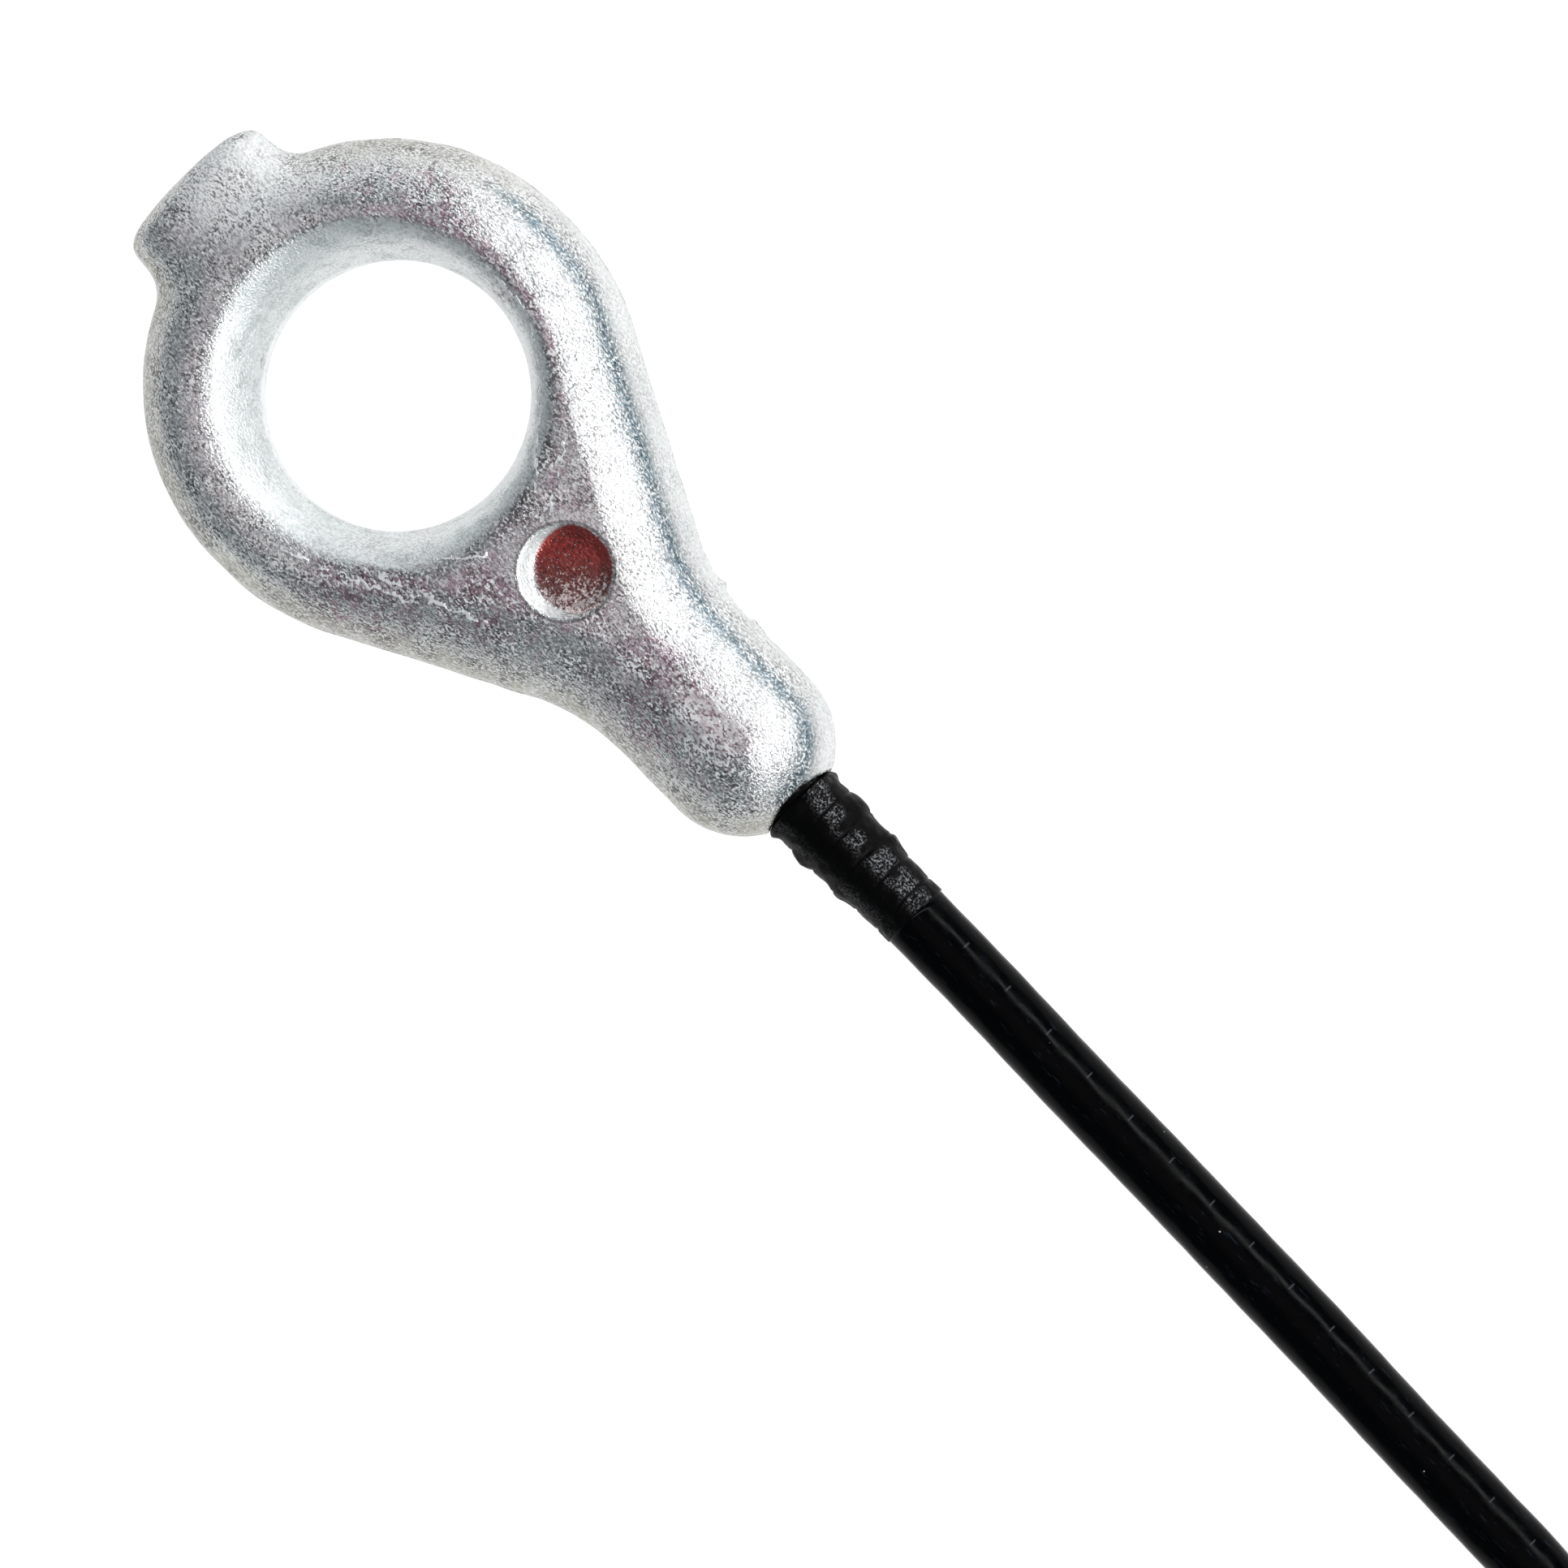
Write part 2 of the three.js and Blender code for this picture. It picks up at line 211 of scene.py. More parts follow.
class Finish:
    """A node material built by short calls; each call gives back a socket."""

    def __init__(self, name):
        self.material = bpy.data.materials.new(name)
        self.material.use_nodes = True
        self.nodes = self.material.node_tree.nodes
        self.links = self.material.node_tree.links
        self.nodes.clear()

    def node(self, kind, settings=(), **inputs):
        n = self.nodes.new(kind)
        for key, value in settings:
            setattr(n, key, value)
        for key, value in inputs.items():
            self.put(n.inputs[key.replace("_", " ")], value)
        return n

    def put(self, socket, value):
        if isinstance(value, bpy.types.NodeSocket):
            self.links.new(value, socket)
        else:
            socket.default_value = value

    def attribute(self, name, output="Vector"):
        return self.node("ShaderNodeAttribute", [("attribute_name", name)]).outputs[output]

    def place(self):
        return self.node("ShaderNodeTexCoord").outputs["Object"]

    def noise(self, vector, scale, detail=2.0, roughness=0.5):
        n = self.node("ShaderNodeTexNoise", Vector=vector, Scale=scale, Detail=detail,
                      Roughness=roughness, Distortion=0.0)
        return n.outputs["Fac"]

    def patches(self, vector, scale, detail, roughness, *limits):
        """Noise sharpened into patches; the limits are those of between."""
        return self.between(self.noise(vector, scale, detail, roughness), *limits)

    def cells(self, vector, scale):
        n = self.node("ShaderNodeTexVoronoi", [("feature", "F1")], Vector=vector, Scale=scale)
        return n.outputs["Distance"]

    def stretch(self, vector, scale):
        return self.node("ShaderNodeMapping", Vector=vector, Scale=scale).outputs["Vector"]

    def join(self, x, y, z):
        return self.node("ShaderNodeCombineXYZ", X=x, Y=y, Z=z).outputs["Vector"]

    def math(self, operation, a, b=0.0, c=0.0):
        n = self.node("ShaderNodeMath", [("operation", operation)])
        for socket, value in zip(n.inputs, (a, b, c)):
            self.put(socket, value)
        return n.outputs[0]

    def times(self, value, *others):
        for other in others:
            value = self.math("MULTIPLY", value, other)
        return value

    def most(self, value, *others):
        for other in others:
            value = self.math("MAXIMUM", value, other)
        return value

    def between(self, value, low, high, out_low=0.0, out_high=1.0):
        n = self.node("ShaderNodeMapRange", [("interpolation_type", "SMOOTHSTEP")])
        for key, v in (("Value", value), ("From Min", low), ("From Max", high),
                       ("To Min", out_low), ("To Max", out_high)):
            self.put(n.inputs[key], v)
        return n.outputs["Result"]

    def mix(self, factor, a, b):
        n = self.node("ShaderNodeMix", [("data_type", "RGBA")])
        self.put(n.inputs[0], factor)
        for socket, colour in ((n.inputs[6], a), (n.inputs[7], b)):
            self.put(socket, (*colour, 1) if isinstance(colour, tuple) else colour)
        return n.outputs[2]

    def split(self, vector):
        return self.node("ShaderNodeSeparateXYZ", Vector=vector).outputs

    def bump(self, height, distance, strength=1.0, normal=None):
        n = self.node("ShaderNodeBump", Height=height, Distance=distance, Strength=strength)
        if normal is not None:
            self.put(n.inputs["Normal"], normal)
        return n.outputs["Normal"]

    def shade(self, **inputs):
        n = self.node("ShaderNodeBsdfPrincipled", **inputs)
        out = self.nodes.new("ShaderNodeOutputMaterial")
        self.links.new(n.outputs[0], out.inputs["Surface"])
        return self.material


# Where fine cracks in the die left raised lines on the casting: ends of each, in millimetres.
VEINS = [
    ((-0.8, 13.4), (3.3, 11.4)),
    ((-1.5, 10.7), (3.2, 10.1)),
    ((3.2, 10.1), (6.6, 7.7)),
    ((6.3, 10.5), (10.1, 7.6)),
    ((6.5, 7.7), (11.7, 2.1)),
    ((10.4, 6.3), (13.5, 1.8)),
    ((1.4, -12.8), (11.0, -8.7)),
    ((6.6, -9.7), (15.8, -6.0)),
    ((9.6, -5.9), (12.6, -2.8)),
]


# Spots on the casting: place and reach of each, in millimetres.
BRUISES = [
    ((28.0, -0.8, 5.2), 6.5),
    ((-5.5, 11.5, 5.0), 5.0),
    ((1.5, 12.3, 5.0), 5.0),
    ((8.5, -10.5, 5.0), 6.0),
    ((14.5, -5.5, 5.2), 4.0),
]
WORN_SPOTS = [
    ((30.8, -0.3, 5.2), 3.6),
    ((24.4, -2.0, 5.2), 1.5),
]
GATE_BREAK = ((-18.0, 3.5, 3.5), 7.0)
SCUM_SPOT = ((0.6, 10.5, 3.6), 2.2)

# Numbers from 0 to 1 that each point of the casting has. Most of them place painted light and shade:
# grime with painted shade on the sides away from the lamps, a pale bore with painted highlights, a
# painted teal reflection, painted shade on the bore's lip, and where the painted highlight reaches.
SKIN_MAPS = ("mark", "grime_and_side_shade", "pale_bore_and_painted_highlight", "painted_teal_reflection", "painted_lip_shade", "off_painted_highlight")


def zinc():
    """Bright die-cast zinc: sparkling grain, dark specks, raised veins and a red-stained pin mark, with
    painted shade on the sides away from the lamps, and painted highlights and a painted teal reflection
    on those turned to them.
    """
    f = Finish("zinc_casting")
    at = f.attribute("eye_place")  # millimetres from the bore's centre
    skin = {name: f.attribute(name, "Fac") for name in SKIN_MAPS}
    # Pale bore wall plus painted highlight on lamp-facing rims: paler, duller and less metallic below.
    pale_bore_and_painted_highlight = skin["pale_bore_and_painted_highlight"]
    cloud = f.noise(at, 0.22, 4, 0.55)
    # Olive grime film that is also painted shade: laid on the sides that face away from the lamps,
    # hardly on those turned to them.
    film_and_shade = f.times(f.patches(at, 0.4, 3, 0.6, 0.3, 0.65, 0.35, 1.0), skin["grime_and_side_shade"])
    broken = f.times(near_spot(f, at, *GATE_BREAK), f.between(cloud, 0.3, 0.5, 0.7, 1.0))
    vein = vein_mask(f, at)
    pepper, flakes = specks(f, at, skin)
    base = f.mix(f.between(cloud, 0.35, 0.7), (0.72, 0.72, 0.73), (0.93, 0.94, 0.93))
    base = f.mix(bloom_mask(f, at, skin), base, (0.60, 0.34, 0.44))
    base = f.mix(film_and_shade, base, (0.56, 0.55, 0.46))
    base = f.mix(broken, base, (0.95, 0.96, 0.96))
    base = bruised(f, at, skin, base)
    base = bore_and_painted_light(f, at, skin, base)
    base = f.mix(f.times(pepper, 0.9), base, (0.10, 0.098, 0.095))
    base = f.mix(flakes, base, (0.95, 0.95, 0.95))
    base = f.mix(burr_mask(f, at), base, (0.14, 0.13, 0.13))
    scum = f.patches(at, 2.4, 4, 0.7, 0.45, 0.6, 0.0, 0.8)
    base = f.mix(f.times(near_spot(f, at, *SCUM_SPOT), scum), base, (0.14, 0.11, 0.10))
    base = f.mix(vein, base, (0.95, 0.95, 0.95))
    base = f.mix(skin["mark"], base, mark_stain(f, at, pepper))
    rough = f.patches(at, 1.4, 3, 0.6, 0.3, 0.7, 0.18, 0.26)
    rough = f.math("ADD", rough, f.math("MULTIPLY_ADD", broken, 0.3, f.times(pale_bore_and_painted_highlight, 0.10)))
    dull = f.most(vein, flakes, f.times(broken, 0.9), f.times(pale_bore_and_painted_highlight, 0.58), f.times(film_and_shade, 0.6))
    metal = f.math("MULTIPLY_ADD", dull, -0.85, 1.0)
    along_axis = f.stretch(at, (0.55, 1.0, 1.0))
    grain = f.bump(f.noise(along_axis, 7.0, 2, 0.6), 0.00007, f.between(pale_bore_and_painted_highlight, 0.0, 1.0, 1.0, 0.8))
    swell = f.bump(f.noise(at, 1.5, 3, 0.55), 0.0001, 0.3, grain)
    raised = f.bump(vein, 0.0001, 1.0, swell)
    return f.shade(Base_Color=base, Metallic=metal, Roughness=rough, Normal=raised)


def bloom_mask(f, at, skin):
    """More than zero on the plating's pink bloom, which is kept off the grime and painted shade of the
    sides, off the pale bore and off the painted highlights.
    """
    x, y, _ = f.split(at)
    clear_of_shade_and_highlight = f.math("SUBTRACT", f.between(skin["grime_and_side_shade"], 0.5, 0.0), f.times(skin["pale_bore_and_painted_highlight"], 1.6))
    past_stub = f.between(f.math("ADD", x, y), -15.0, -7.0)
    bloom = f.times(f.patches(at, 0.7, 4, 0.75, 0.45, 0.7), 0.6, f.math("MAXIMUM", clear_of_shade_and_highlight, 0.0))
    # Kept off the painted highlight on slopes that face the lamps.
    return f.times(bloom, past_stub, skin["off_painted_highlight"])


def bruised(f, at, skin, base):
    """The colour with ragged purple bruises on it."""
    ragged = f.patches(at, 1.6, 3, 0.7, 0.42, 0.6)
    for place, reach in BRUISES:
        # Kept off the painted highlight on slopes that face the lamps.
        bruise = f.times(near_spot(f, at, place, reach), ragged, skin["off_painted_highlight"], 0.75)
        base = f.mix(bruise, base, (0.40, 0.21, 0.29))
    return base


def bore_and_painted_light(f, at, skin, base):
    """The colour made pale on the bore's wall, and as painted highlight on the rims and the mark's wall
    that face the lamps; then a painted teal reflection in streaks, grey smears round the bore and
    painted shade on the lip that faces away from the lamps.
    """
    x, y, z = f.split(at)
    # Pale bore wall, and painted highlight on the rims and the mark's wall that face the lamps.
    base = f.mix(f.times(skin["pale_bore_and_painted_highlight"], 0.85), base, (0.95, 0.98, 0.98))
    streak = f.patches(at, 2.2, 3, 0.7, 0.35, 0.55, 0.55, 0.95)
    # Painted reflection: a dark teal band where the slopes that face the lamps would mirror the dim
    # room between the lamp and the table.
    base = f.mix(f.times(skin["painted_teal_reflection"], streak), base, (0.12, 0.20, 0.25))
    radius = f.math("SQRT", f.math("MULTIPLY_ADD", x, x, f.times(y, y)))
    turned = f.join(f.math("DIVIDE", x, radius), f.math("DIVIDE", y, radius), f.times(z, 0.3))
    smear = f.patches(turned, 5.5, 5, 0.7, 0.48, 0.66)
    base = f.mix(f.times(skin["pale_bore_and_painted_highlight"], smear, 0.55), base, (0.50, 0.56, 0.54))
    # Painted shade on the lip of the bore's right-hand stretch, which faces away from the lamps.
    lip_shade = f.times(skin["painted_lip_shade"], f.patches(at, 1.5, 4, 0.75, 0.42, 0.56), 0.85)
    return f.mix(lip_shade, base, (0.13, 0.11, 0.10))


def specks(f, at, skin):
    """Dark pepper, denser on the grime and painted shade of the sides and thinned where the painted
    highlight falls, and bright flakes, denser where worn.
    """
    patchy = f.patches(at, 0.55, 3, 0.6, 0.35, 0.65, 0.45, 1.0)
    thinned = f.between(skin["pale_bore_and_painted_highlight"], 0.0, 1.0, 1.0, 0.5)
    fleck = f.noise(f.stretch(at, (0.6, 1.0, 1.0)), 6.5, 2, 0.7)
    pepper_from = f.between(skin["grime_and_side_shade"], 0.0, 1.0, 0.465, 0.42)
    pepper_to = f.between(skin["grime_and_side_shade"], 0.0, 1.0, 0.56, 0.50)
    pepper = f.times(f.between(fleck, pepper_from, pepper_to), patchy, thinned)
    # Thinned where the painted highlight falls on slopes that face the lamps.
    pepper = f.times(pepper, f.between(skin["off_painted_highlight"], 0.1, 1.0, 0.7, 1.0))
    worn = f.most(*(near_spot(f, at, place, reach) for place, reach in WORN_SPOTS))
    sparkle = f.noise(f.stretch(at, (0.6, 1.0, 1.3)), 5.7, 2, 0.6)
    flakes_from = f.between(worn, 0.0, 1.0, 0.53, 0.44)
    flakes_to = f.between(worn, 0.0, 1.0, 0.59, 0.50)
    flakes = f.times(f.between(sparkle, flakes_from, flakes_to), patchy, thinned)
    return pepper, flakes


def burr_mask(f, at):
    """More than zero on the thin dark line round the pin mark's rim."""
    x, y, z = f.split(at)
    past_mark = f.math("ADD", x, -MARK_X)
    from_mark = f.math("SQRT", f.math("MULTIPLY_ADD", past_mark, past_mark, f.times(y, y)))
    off_line = f.math("ABSOLUTE", f.math("ADD", from_mark, -MARK_RADIUS - 0.15))
    return f.times(f.between(off_line, 0.14, 0.05), f.math("GREATER_THAN", z, 3.0), 0.6)


def mark_stain(f, at, pepper):
    """The pin mark's colour: a red stain, with more and more pale crust towards one side."""
    x, y, _ = f.split(at)
    across = f.math("SUBTRACT", y, f.math("ADD", x, -MARK_X))
    fade = f.between(across, 1.5, -3.6, -0.06, 0.11)
    crust = f.between(f.math("ADD", f.noise(at, 3.4, 4, 0.75), fade), 0.54, 0.62)
    stain = f.mix(f.between(across, -2.0, 2.5), (0.27, 0.12, 0.11), (0.46, 0.07, 0.06))
    stain = f.mix(pepper, stain, (0.14, 0.05, 0.05))
    return f.mix(crust, stain, (0.95, 0.82, 0.80))


def vein_mask(f, at):
    """One on the veins of the top face: thin lines that wander and break off."""
    x, y, z = f.split(at)
    wander = f.math("MULTIPLY_ADD", f.noise(at, 0.9, 3, 0.7), 1.6, -0.8)
    broken = f.between(f.noise(at, 1.1, 1), 0.36, 0.46)
    total = 0.0
    for (x0, y0), (x1, y1) in VEINS:
        length = math.hypot(x1 - x0, y1 - y0)
        dx, dy = (x1 - x0) / length, (y1 - y0) / length
        along = f.math("MULTIPLY_ADD", x, dx, f.math("MULTIPLY_ADD", y, dy, -(x0 * dx + y0 * dy)))
        across = f.math("MULTIPLY_ADD", y, dx, f.math("MULTIPLY_ADD", x, -dy, x0 * dy - y0 * dx))
        off_line = f.math("ABSOLUTE", f.math("ADD", across, wander))
        inside = f.times(f.between(along, 0.0, 0.6), f.between(along, length, length - 0.6))
        total = f.most(total, f.times(inside, f.between(off_line, 0.17, 0.07)))
    return f.times(total, broken, f.between(z, 3.0, 4.0))


def near_spot(f, at, centre, reach):
    """One at a place on the casting, fading to nothing at the given distance."""
    away = f.node("ShaderNodeVectorMath", [("operation", "DISTANCE")])
    f.put(away.inputs[0], at)
    f.put(away.inputs[1], centre)
    return f.between(away.outputs["Value"], reach, reach * 0.4)


def gripped_sheath():
    """Matt black nylon pressed by the die, with grey flecks of painted sheen where its pressed squares
    catch the lamps.
    """
    f = Finish("gripped_sheath")
    at = f.attribute("eye_place")
    painted_sheen = f.attribute("painted_sheen", "Fac")
    fleck = f.patches(at, 6.5, 2, 0.7, 0.47, 0.66)
    # Painted sheen: grey flecks on the pressed squares in the bands turned to the lamps.
    base = f.mix(f.times(fleck, painted_sheen), (0.0006, 0.0006, 0.0006), (0.30, 0.30, 0.32))
    rough = f.between(f.noise(at, 1.5, 2), 0.3, 0.7, 0.3, 0.5)
    normal = f.bump(f.noise(at, 5.0, 3, 0.6), 0.0001, f.between(painted_sheen, 0.0, 0.6, 0.3, 1.0))
    return f.shade(Base_Color=base, Roughness=rough, Normal=normal, IOR=1.16)


def cable_sheath():
    """Glossy black nylon with dust specks, faint scuffs and evenly spaced painted glints, where the
    strands under the sheath catch the light along its highlight.
    """
    f = Finish("cable_sheath")
    at = f.attribute("run_place")  # millimetres along the cable, aside of it and above it
    dust = f.between(f.cells(at, 0.45), 0.035, 0.02)
    scuff = f.patches(f.stretch(at, (0.35, 2.2, 1)), 2.0, 3, 0.6, 0.6, 0.75)
    base = f.mix(f.times(scuff, 0.12), (0.0006, 0.0007, 0.0010), (0.07, 0.10, 0.15))
    along, aside, above = f.split(at)
    # Painted highlight: pale glints along the top's highlight line, one strand's pitch apart.
    to_glint = f.math("PINGPONG", along, GLINT_HALF_PITCH)
    off_line = f.math("ABSOLUTE", f.math("SUBTRACT", aside, GLINT_ASIDE))
    glint = f.times(f.between(to_glint, 0.09, 0.03), f.between(off_line, 0.3, 0.15))
    glint = f.times(glint, f.math("GREATER_THAN", above, 0.0), 0.12)
    base = f.mix(glint, base, (0.35, 0.4, 0.45))
    base = f.mix(dust, base, (0.5, 0.5, 0.5))
    rough = f.patches(at, 0.8, 3, 0.6, 0.35, 0.7, 0.16, 0.30)
    normal = f.bump(f.noise(f.stretch(at, (0.25, 1, 1)), 1.1, 2, 0.5), 0.00005, 0.25)
    return f.shade(Base_Color=base, Roughness=rough, Normal=normal, IOR=1.13)


def tie_nylon():
    f = Finish("tie_nylon")
    at = f.place()
    rough = f.between(f.noise(at, 400.0, 3), 0.3, 0.7, 0.3, 0.5)
    normal = f.bump(f.noise(at, 1500.0, 2), 0.00003, 0.4)
    base = f.mix(f.noise(at, 250.0), (0.012, 0.012, 0.013), (0.03, 0.03, 0.032))
    return f.shade(Base_Color=base, Roughness=rough, Normal=normal)


def rope_steel():
    """Drawn wires, seen only where a strand is bared."""
    f = Finish("rope_steel")
    at = f.place()
    wires = f.noise(f.stretch(at, (0.3, 3, 3)), 900.0, 3, 0.6)
    base = f.mix(f.between(wires, 0.4, 0.6), (0.30, 0.30, 0.31), (0.62, 0.63, 0.64))
    return f.shade(Base_Color=base, Metallic=1.0, Roughness=f.between(wires, 0.3, 0.7, 0.45, 0.25),
                   Normal=f.bump(wires, 0.0002, 0.7))


def copper_ferrule():
    f = Finish("copper_ferrule")
    at = f.place()
    tarnish = f.noise(at, 350.0, 4, 0.6)
    base = f.mix(f.between(tarnish, 0.4, 0.65), (0.75, 0.35, 0.22), (0.28, 0.12, 0.07))
    return f.shade(Base_Color=base, Metallic=1.0, Roughness=f.between(tarnish, 0.3, 0.7, 0.25, 0.5),
                   Normal=f.bump(f.noise(at, 1200.0, 2), 0.0001, 0.4))


def table_white():
    f = Finish("table_white")
    grain = f.noise(f.place(), 60.0, 2)
    base = f.mix(grain, (0.12, 0.12, 0.12), (0.13, 0.13, 0.13))
    return f.shade(Base_Color=base, Roughness=0.9, Specular_IOR_Level=0.1,
                   Emission_Color=(1, 1, 1, 1), Emission_Strength=0.98)


ZINC = zinc()
GRIPPED = gripped_sheath()
SHEATH = cable_sheath()
TIE = tie_nylon()
STEEL = rope_steel()
COPPER = copper_ferrule()

# ---- The cast eye ----
NECK_BURRS = ((24.2, 0.45), (28.1, 0.6))  # along the parting line: place and half length


def capsule(x, y, start, end, radius_start, radius_end):
    """Signed distance to the shape round two circles on the X axis and their common tangents."""
    length = end - start
    u, v = x - start, np.abs(y)
    slope = (radius_start - radius_end) / length
    rise = math.sqrt(1 - slope * slope)
    along = u * rise + v * -slope
    flank = u * slope + v * rise - radius_start
    near = np.hypot(u, v) - radius_start
    far = np.hypot(u - length, v) - radius_end
    return np.where(along < 0, near, np.where(along > length * rise, far, flank))


def smooth_min(a, b, width):
    h = np.clip(0.5 + 0.5 * (b - a) / width, 0, 1)
    return b + (a - b) * h - width * h * (1 - h)


def smooth_max(a, b, width):
    return -smooth_min(-a, -b, width)


def plate_edge(outline, z, round_plan, round_depth, half):
    """Turns an outline's distance into that of a plate whose edges are rounded off."""
    out = np.maximum(outline + round_plan, 0) / round_plan
    up = np.maximum(np.abs(z) - (half - round_depth), 0) / round_depth
    return (np.sqrt(out**EDGE_BULGE + up**2) - 1) * min(round_plan, round_depth)


def eye_outline(x, y):
    """Signed distance to the eye seen from above, without its bore and stub."""
    ring = capsule(x, y, -RING_STRETCH, 0, RING_RADIUS, RING_RADIUS - HAIR)
    narrowing = math.sin(WEB_HALF_ANGLE)
    web = capsule(x, y, 0, RING_RADIUS / narrowing - WEB_TIP, RING_RADIUS, WEB_TIP * narrowing)
    neck = capsule(x, y, NECK_START, NECK_END - NECK_HALF, NECK_HALF, NECK_HALF - HAIR)
    return smooth_min(np.minimum(ring, web), neck, NECK_FILLET)


def superellipse(a, b, power):
    """One on an oval that is squarer the higher the power is, less inside it."""
    return (a**power + b**power) ** (1 / power)


def gate_stub(x, y, z):
    """Less than zero inside the stub where the gate broke off: a cushion with a blunt end."""
    end = np.maximum(STUB_END + STUB_WORN + STUB_END_ROUND + STUB_CROWN * y * y - x, 0)
    plan = superellipse(end / STUB_END_ROUND, np.abs(y) / STUB_HALF, 5)
    shell = superellipse(plan, np.abs(z) / STUB_HALF_THICKNESS, 3)
    return np.maximum((shell - 1) * STUB_HALF_THICKNESS, x - STUB_ROOT)


def bore_leaning(x, y, radius):
    """From 0 where the bore's wall leans least to 1 where it leans most."""
    facing = x * math.cos(BORE_LEAN_TOWARDS) + y * math.sin(BORE_LEAN_TOWARDS)
    return (0.5 + 0.5 * np.clip(facing / np.maximum(radius, 1), -1, 1)) ** 1.5


def bore_wall(leaning, radius, z):
    """Less than zero outside the bore, whose wall leans outward to both faces."""
    least, most = BORE_LEAN
    lean = least + (most - least) * leaning
    wall = BORE_RADIUS + lean * np.maximum(np.abs(z) - BORE_THROAT, 0)
    return (wall - radius) / np.hypot(1, lean)


def pin_mark(x, y, z):
    """Less than zero in the hollow of the shallow round mark."""
    floor = THICKNESS / 2 - MARK_DEPTH + MARK_TILT[0] * (x - MARK_X) + MARK_TILT[1] * y - z
    wall = np.hypot(x - MARK_X, y) - MARK_RADIUS + MARK_TAPER * (THICKNESS / 2 - z) / MARK_DEPTH
    return smooth_max(MARK_WALL_SCALE * wall, floor, MARK_FLOOR_ROUND)


def rope_hollow(x, y, z):
    """Signed distance to the room for the collar, the rope and the ferrule inside the neck."""
    across = np.hypot(y, z)
    throat = np.maximum(across - (CABLE_RADIUS + 0.35), COLLAR_START - SOCKET_CLEARANCE - x)
    rope = np.maximum(across - SHEATH_INNER - 0.1, ROPE_HOLE_START - x)
    middle, half_length, reach = FERRULE_HOLE
    ferrule = np.maximum(across - reach, np.abs(x - middle) - half_length)
    return np.minimum(np.minimum(throat, rope), ferrule)


def eye_field(x, y, z):
    """Below zero inside the casting; millimetres near its surface."""
    body = plate_edge(eye_outline(x, y), z, EDGE_ROUND, EDGE_ROUND_DEPTH, THICKNESS / 2)
    shape = smooth_min(body, gate_stub(x, y, z), STUB_FILLET)
    radius = np.hypot(x, y)
    leaning = bore_leaning(x, y, radius)
    least, most = BORE_LIP
    shape = smooth_max(shape, bore_wall(leaning, radius, z), least + (most - least) * leaning)
    shape = smooth_max(shape, -pin_mark(x, y, z), MARK_RIM_ROUND)
    return smooth_max(shape, -rope_hollow(x, y, z), SOCKET_RIM_ROUND)


def surface_net(field, low, high, step):
    """A quad mesh of the field's zero surface: one point in each grid cell that it crosses."""
    axes = [np.arange(a, b + step, step) for a, b in zip(low, high)]
    grid = np.meshgrid(*axes, indexing="ij")
    values = field(*grid)
    fill_saddles(values)
    inside = values < 0
    corners = list(np.ndindex(2, 2, 2))
    count = sum(shifted(inside, c).astype(np.int8) for c in corners)
    active = (count > 0) & (count < 8)
    cells = np.argwhere(active)
    number = np.full(active.shape, -1)
    number[active] = np.arange(len(cells))
    at = [values[tuple((cells + c).T)] for c in corners]
    total, crossed = np.zeros((len(cells), 3)), np.zeros(len(cells))
    for i, a in enumerate(corners):
        for j, b in enumerate(corners):
            if i < j and sum(abs(p - q) for p, q in zip(a, b)) == 1:
                cuts = (at[i] < 0) != (at[j] < 0)
                t = np.where(cuts, at[i] / np.where(cuts, at[i] - at[j], 1), 0)
                total += cuts[:, None] * (np.array(a) + t[:, None] * (np.array(b) - np.array(a)))
                crossed += cuts
    points = np.array(low) + (cells + total / crossed[:, None]) * step
    faces = [net_faces(inside, number, axis) for axis in range(3)]
    return onto_surface(field, points, step), np.concatenate(faces)


def face_corners(block, one, two):
    """The block as seen from the four corners of every grid face across two of its axes."""
    views = []
    for first, second in ((0, 0), (1, 0), (0, 1), (1, 1)):
        cut = [slice(None)] * 3
        cut[one] = slice(first, block.shape[one] - 1 + first)
        cut[two] = slice(second, block.shape[two] - 1 + second)
        views.append(block[tuple(cut)])
    return views


def fill_saddles(values):
    """Fills grid faces whose corners are in and out by turns, where two sheets would share an edge."""
    for _ in range(3):
        for one, two in ((0, 1), (0, 2), (1, 2)):
            views = face_corners(values, one, two)
            a, b, c, d = (view < 0 for view in views)
            saddle = (a == d) & (b == c) & (a != b)
            for view in views:
                view[saddle] = np.minimum(view[saddle], -HAIR)


def shifted(block, corner):
    return block[tuple(slice(c, n - 1 + c) for c, n in zip(corner, block.shape))]


def net_faces(inside, number, axis):
    """One quad round each grid edge along the axis whose ends lie on different sides."""
    ahead = [slice(None)] * 3
    behind = [slice(None)] * 3
    ahead[axis], behind[axis] = slice(1, None), slice(None, -1)
    first, last = inside[tuple(behind)], inside[tuple(ahead)]
    edges = np.argwhere(first != last)
    one, two = [a for a in range(3) if a != axis]
    leaving = first[tuple(edges.T)]
    steps = [(0, 0), (-1, 0), (-1, -1), (0, -1)]
    quad = []
    for a, b in steps:
        cell = edges.copy()
        cell[:, one] += a
        cell[:, two] += b
        quad.append(number[tuple(cell.T)])
    quad = np.stack(quad, 1)
    flip = leaving if axis == 1 else ~leaving
    quad[flip] = quad[flip][:, ::-1]
    return quad


def slope_of(field, points, reach=0.02):
    parts = []
    for axis in range(3):
        move = np.zeros(3)
        move[axis] = reach
        parts.append(field(*(points + move).T) - field(*(points - move).T))
    return np.stack(parts, 1) / (2 * reach)


